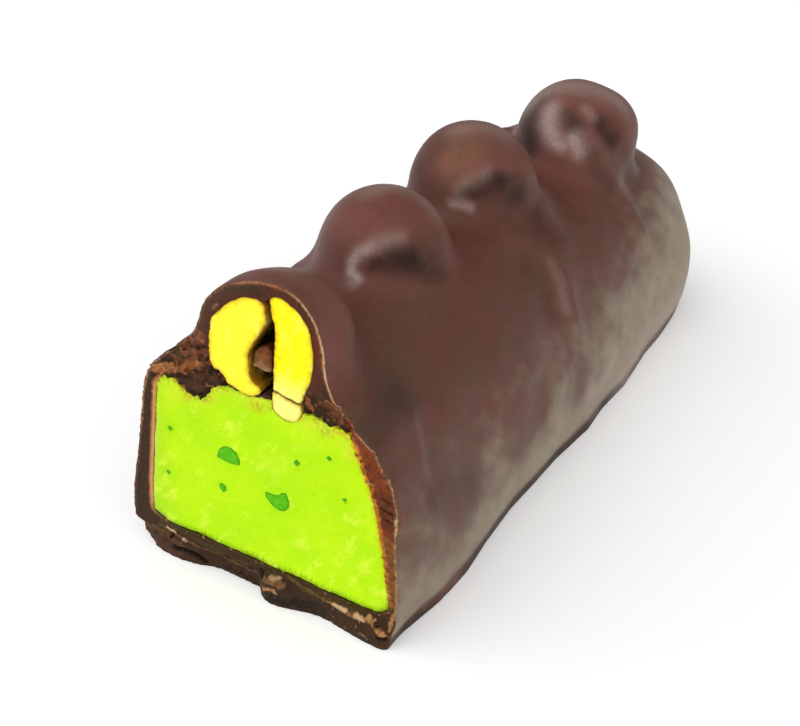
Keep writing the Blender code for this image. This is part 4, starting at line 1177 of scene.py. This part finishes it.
def nut_part(name, node, corners, stations, colours, ahead_of_cut, look):
    """A piece of the nut, with an edge tone, a tone for its lower end, and a brown behind its front that is
    partly its skin and partly painted shade in the gaps.
    """
    centre, margin, low, low_from = colours
    outline = resampled(corners, 0.15, 2)
    outline = grown(outline, 0.04 * small_break(*outline.T) + 0.06)

    def relief(x, z):
        return -ahead_of_cut + 0.05 * paste_grain(x, z) + 0.04 * small_break(x, z)

    front = rounded_front(outline, 0.3, 0.14, relief)
    obj = plug(name, outline, stations, NUT_MIDDLE, front, NUT_STEP, (look,))
    x, y, z = design_points(obj)
    edge = np.abs(polygon_distance(x, z, outline))
    small = small_break(x, z)
    paint(obj, "tone", layered(
        np.tile(centre, (len(x), 1)),
        (margin, edging(edge, 1.2, 0.5, 0.3 * small) * 0.6),
        (low, (low_from - z) / 2.4 + 0.25 * small),
        (NUT_RIM, edging(edge, 1.1, 0.15, 0.2 * crumb_break(x, z)) * 0.8),
        # partly skin, partly painted shade: the sides behind the front darken
        (NUT_SKIN_AND_SHADE, unit((y - 0.12) / 0.4))))
    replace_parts(finished(obj, 40, node), node)


def bit_relief(x, z):
    return paste_relief(x, z) - 0.08


def bits():
    """The pistachio bits as one piece, each bit a thin plug standing just proud of the marzipan."""
    body = bmesh.new()
    outlines = []
    for middle, corners in PISTACHIO_BITS:
        outline = resampled(BIT_SCALE * np.array(corners) + middle, 0.1, 2)
        front = rounded_front(outline, 0.25, 0.07, bit_relief)
        part = plug("bit", outline, ((0.5, 1.0),), middle, front, 0.15, (pistachio_look,))
        body.from_mesh(part.data)
        bpy.data.objects.remove(part)
        outlines.append(outline)
    mesh = bpy.data.meshes.new("pistachio_bits")
    body.to_mesh(mesh)
    body.free()
    mesh.materials.append(pistachio_look)
    obj = shown("pistachio_bits", mesh)
    x, y, z = design_points(obj)
    edge = np.min([np.abs(polygon_distance(x, z, outline)) for outline in outlines], axis=0)
    attach(obj, "edge", edging(edge, 1.1, 0.3) * 0.8)
    finished(obj, 50, "marzipan")


coating()
marzipan()
NUT_REST = NUT_STATIONS[1:]
nut_part("nut_half_left", "hazelnut_half_left", LEFT_HALF, NUT_REST, YELLOW, 0.05, flesh)
nut_part("nut_half_right", "hazelnut_half_right", RIGHT_HALF, NUT_REST, DEEP_YELLOW, 0.0, flesh)
nut_part("nut_chip", "hazelnut_chip", CHIP, NUT_STATIONS[1:3], CREAMY, 0.04, flesh)
nut_part("shard_of_chocolate", "chocolate_shard", SHARD, SHARD_STATIONS[1:], BROWN, -0.3, broken)
bits()

# The floor lies just below the base, and glows a little, as the photo's white ground does
FLOOR_HALF = 1.5
FLOOR_DROP = 0.00005
FLOOR_GLOW = 0.2
floor_mesh = bpy.data.meshes.new("floor")
floor_mesh.from_pydata(
    [(FLOOR_HALF * a, FLOOR_HALF * b, 0) for a, b in ((-1, -1), (1, -1), (1, 1), (-1, 1))],
    [], [(0, 1, 2, 3)])
floor_mesh.materials.append(pale_floor())
floor = shown("floor", floor_mesh)
floor.location.z = -FLOOR_DROP

# The room is bright all round, and dimmer behind the bar, where the coating's top would mirror it
DIM_SIDE = (0.0, 0.884, 0.468)
DIM_FROM, DIM_TO = 0.2, 0.85
BRIGHT, DIM = 1.1, 0.25
world = bpy.data.worlds.new("studio")
bpy.context.scene.world = world
world.use_nodes = True
sky = world.node_tree
way = sky.nodes.new("ShaderNodeTexCoord")
facing = sky.nodes.new("ShaderNodeVectorMath")
facing.operation = "DOT_PRODUCT"
facing.inputs[1].default_value = DIM_SIDE
sky.links.new(way.outputs["Generated"], facing.inputs[0])
level = sky.nodes.new("ShaderNodeMapRange")
level.interpolation_type = "SMOOTHSTEP"
level.inputs["From Min"].default_value, level.inputs["From Max"].default_value = DIM_FROM, DIM_TO
level.inputs["To Min"].default_value, level.inputs["To Max"].default_value = BRIGHT, DIM
sky.links.new(facing.outputs["Value"], level.inputs["Value"])
sky.links.new(level.outputs["Result"], sky.nodes["Background"].inputs["Strength"])
sky.nodes["Background"].inputs["Color"].default_value = (1, 1, 1, 1)

# One soft light, above the cut and to its left
KEY_PLACE, KEY_AIM = Vector((-0.35, -0.45, 0.75)), Vector((0, 0, 0.02))
KEY_SIZE, KEY_POWER = 0.9, 2.0
lamp = bpy.data.lights.new("key", "AREA")
lamp.shape = "SQUARE"
lamp.size = KEY_SIZE
lamp.energy = KEY_POWER
key = shown("key", lamp)
key.location = KEY_PLACE
key.rotation_mode = "QUATERNION"
key.rotation_quaternion = (KEY_AIM - KEY_PLACE).to_track_quat("-Z", "Y")

# The camera stands where the photograph's perspective puts it, in design millimetres
CAMERA_PLACE = (69.77, -91.52, 101.17)
CAMERA_WAY, CAMERA_SIDE = Vector((-0.4255, 0.7374, -0.5246)), Vector((0.8606, 0.509, 0.0175))
camera_data = bpy.data.cameras.new("camera")
camera_data.lens = 59.93
camera_data.sensor_width = 36.0
camera_data.clip_start, camera_data.clip_end = 0.01, 20
camera = shown("camera", camera_data)
look_way = CAMERA_WAY.normalized()
side_way = (CAMERA_SIDE - look_way * CAMERA_SIDE.dot(look_way)).normalized()
turn = Matrix((side_way, side_way.cross(look_way), -look_way)).transposed().to_4x4()
place = Vector(np.subtract(CAMERA_PLACE, ORIGIN)) * METRES
camera.matrix_world = Matrix.Translation(place) @ turn
bpy.context.scene.camera = camera
bpy.context.scene.view_settings.view_transform = "Standard"

bpy.context.view_layer.update()
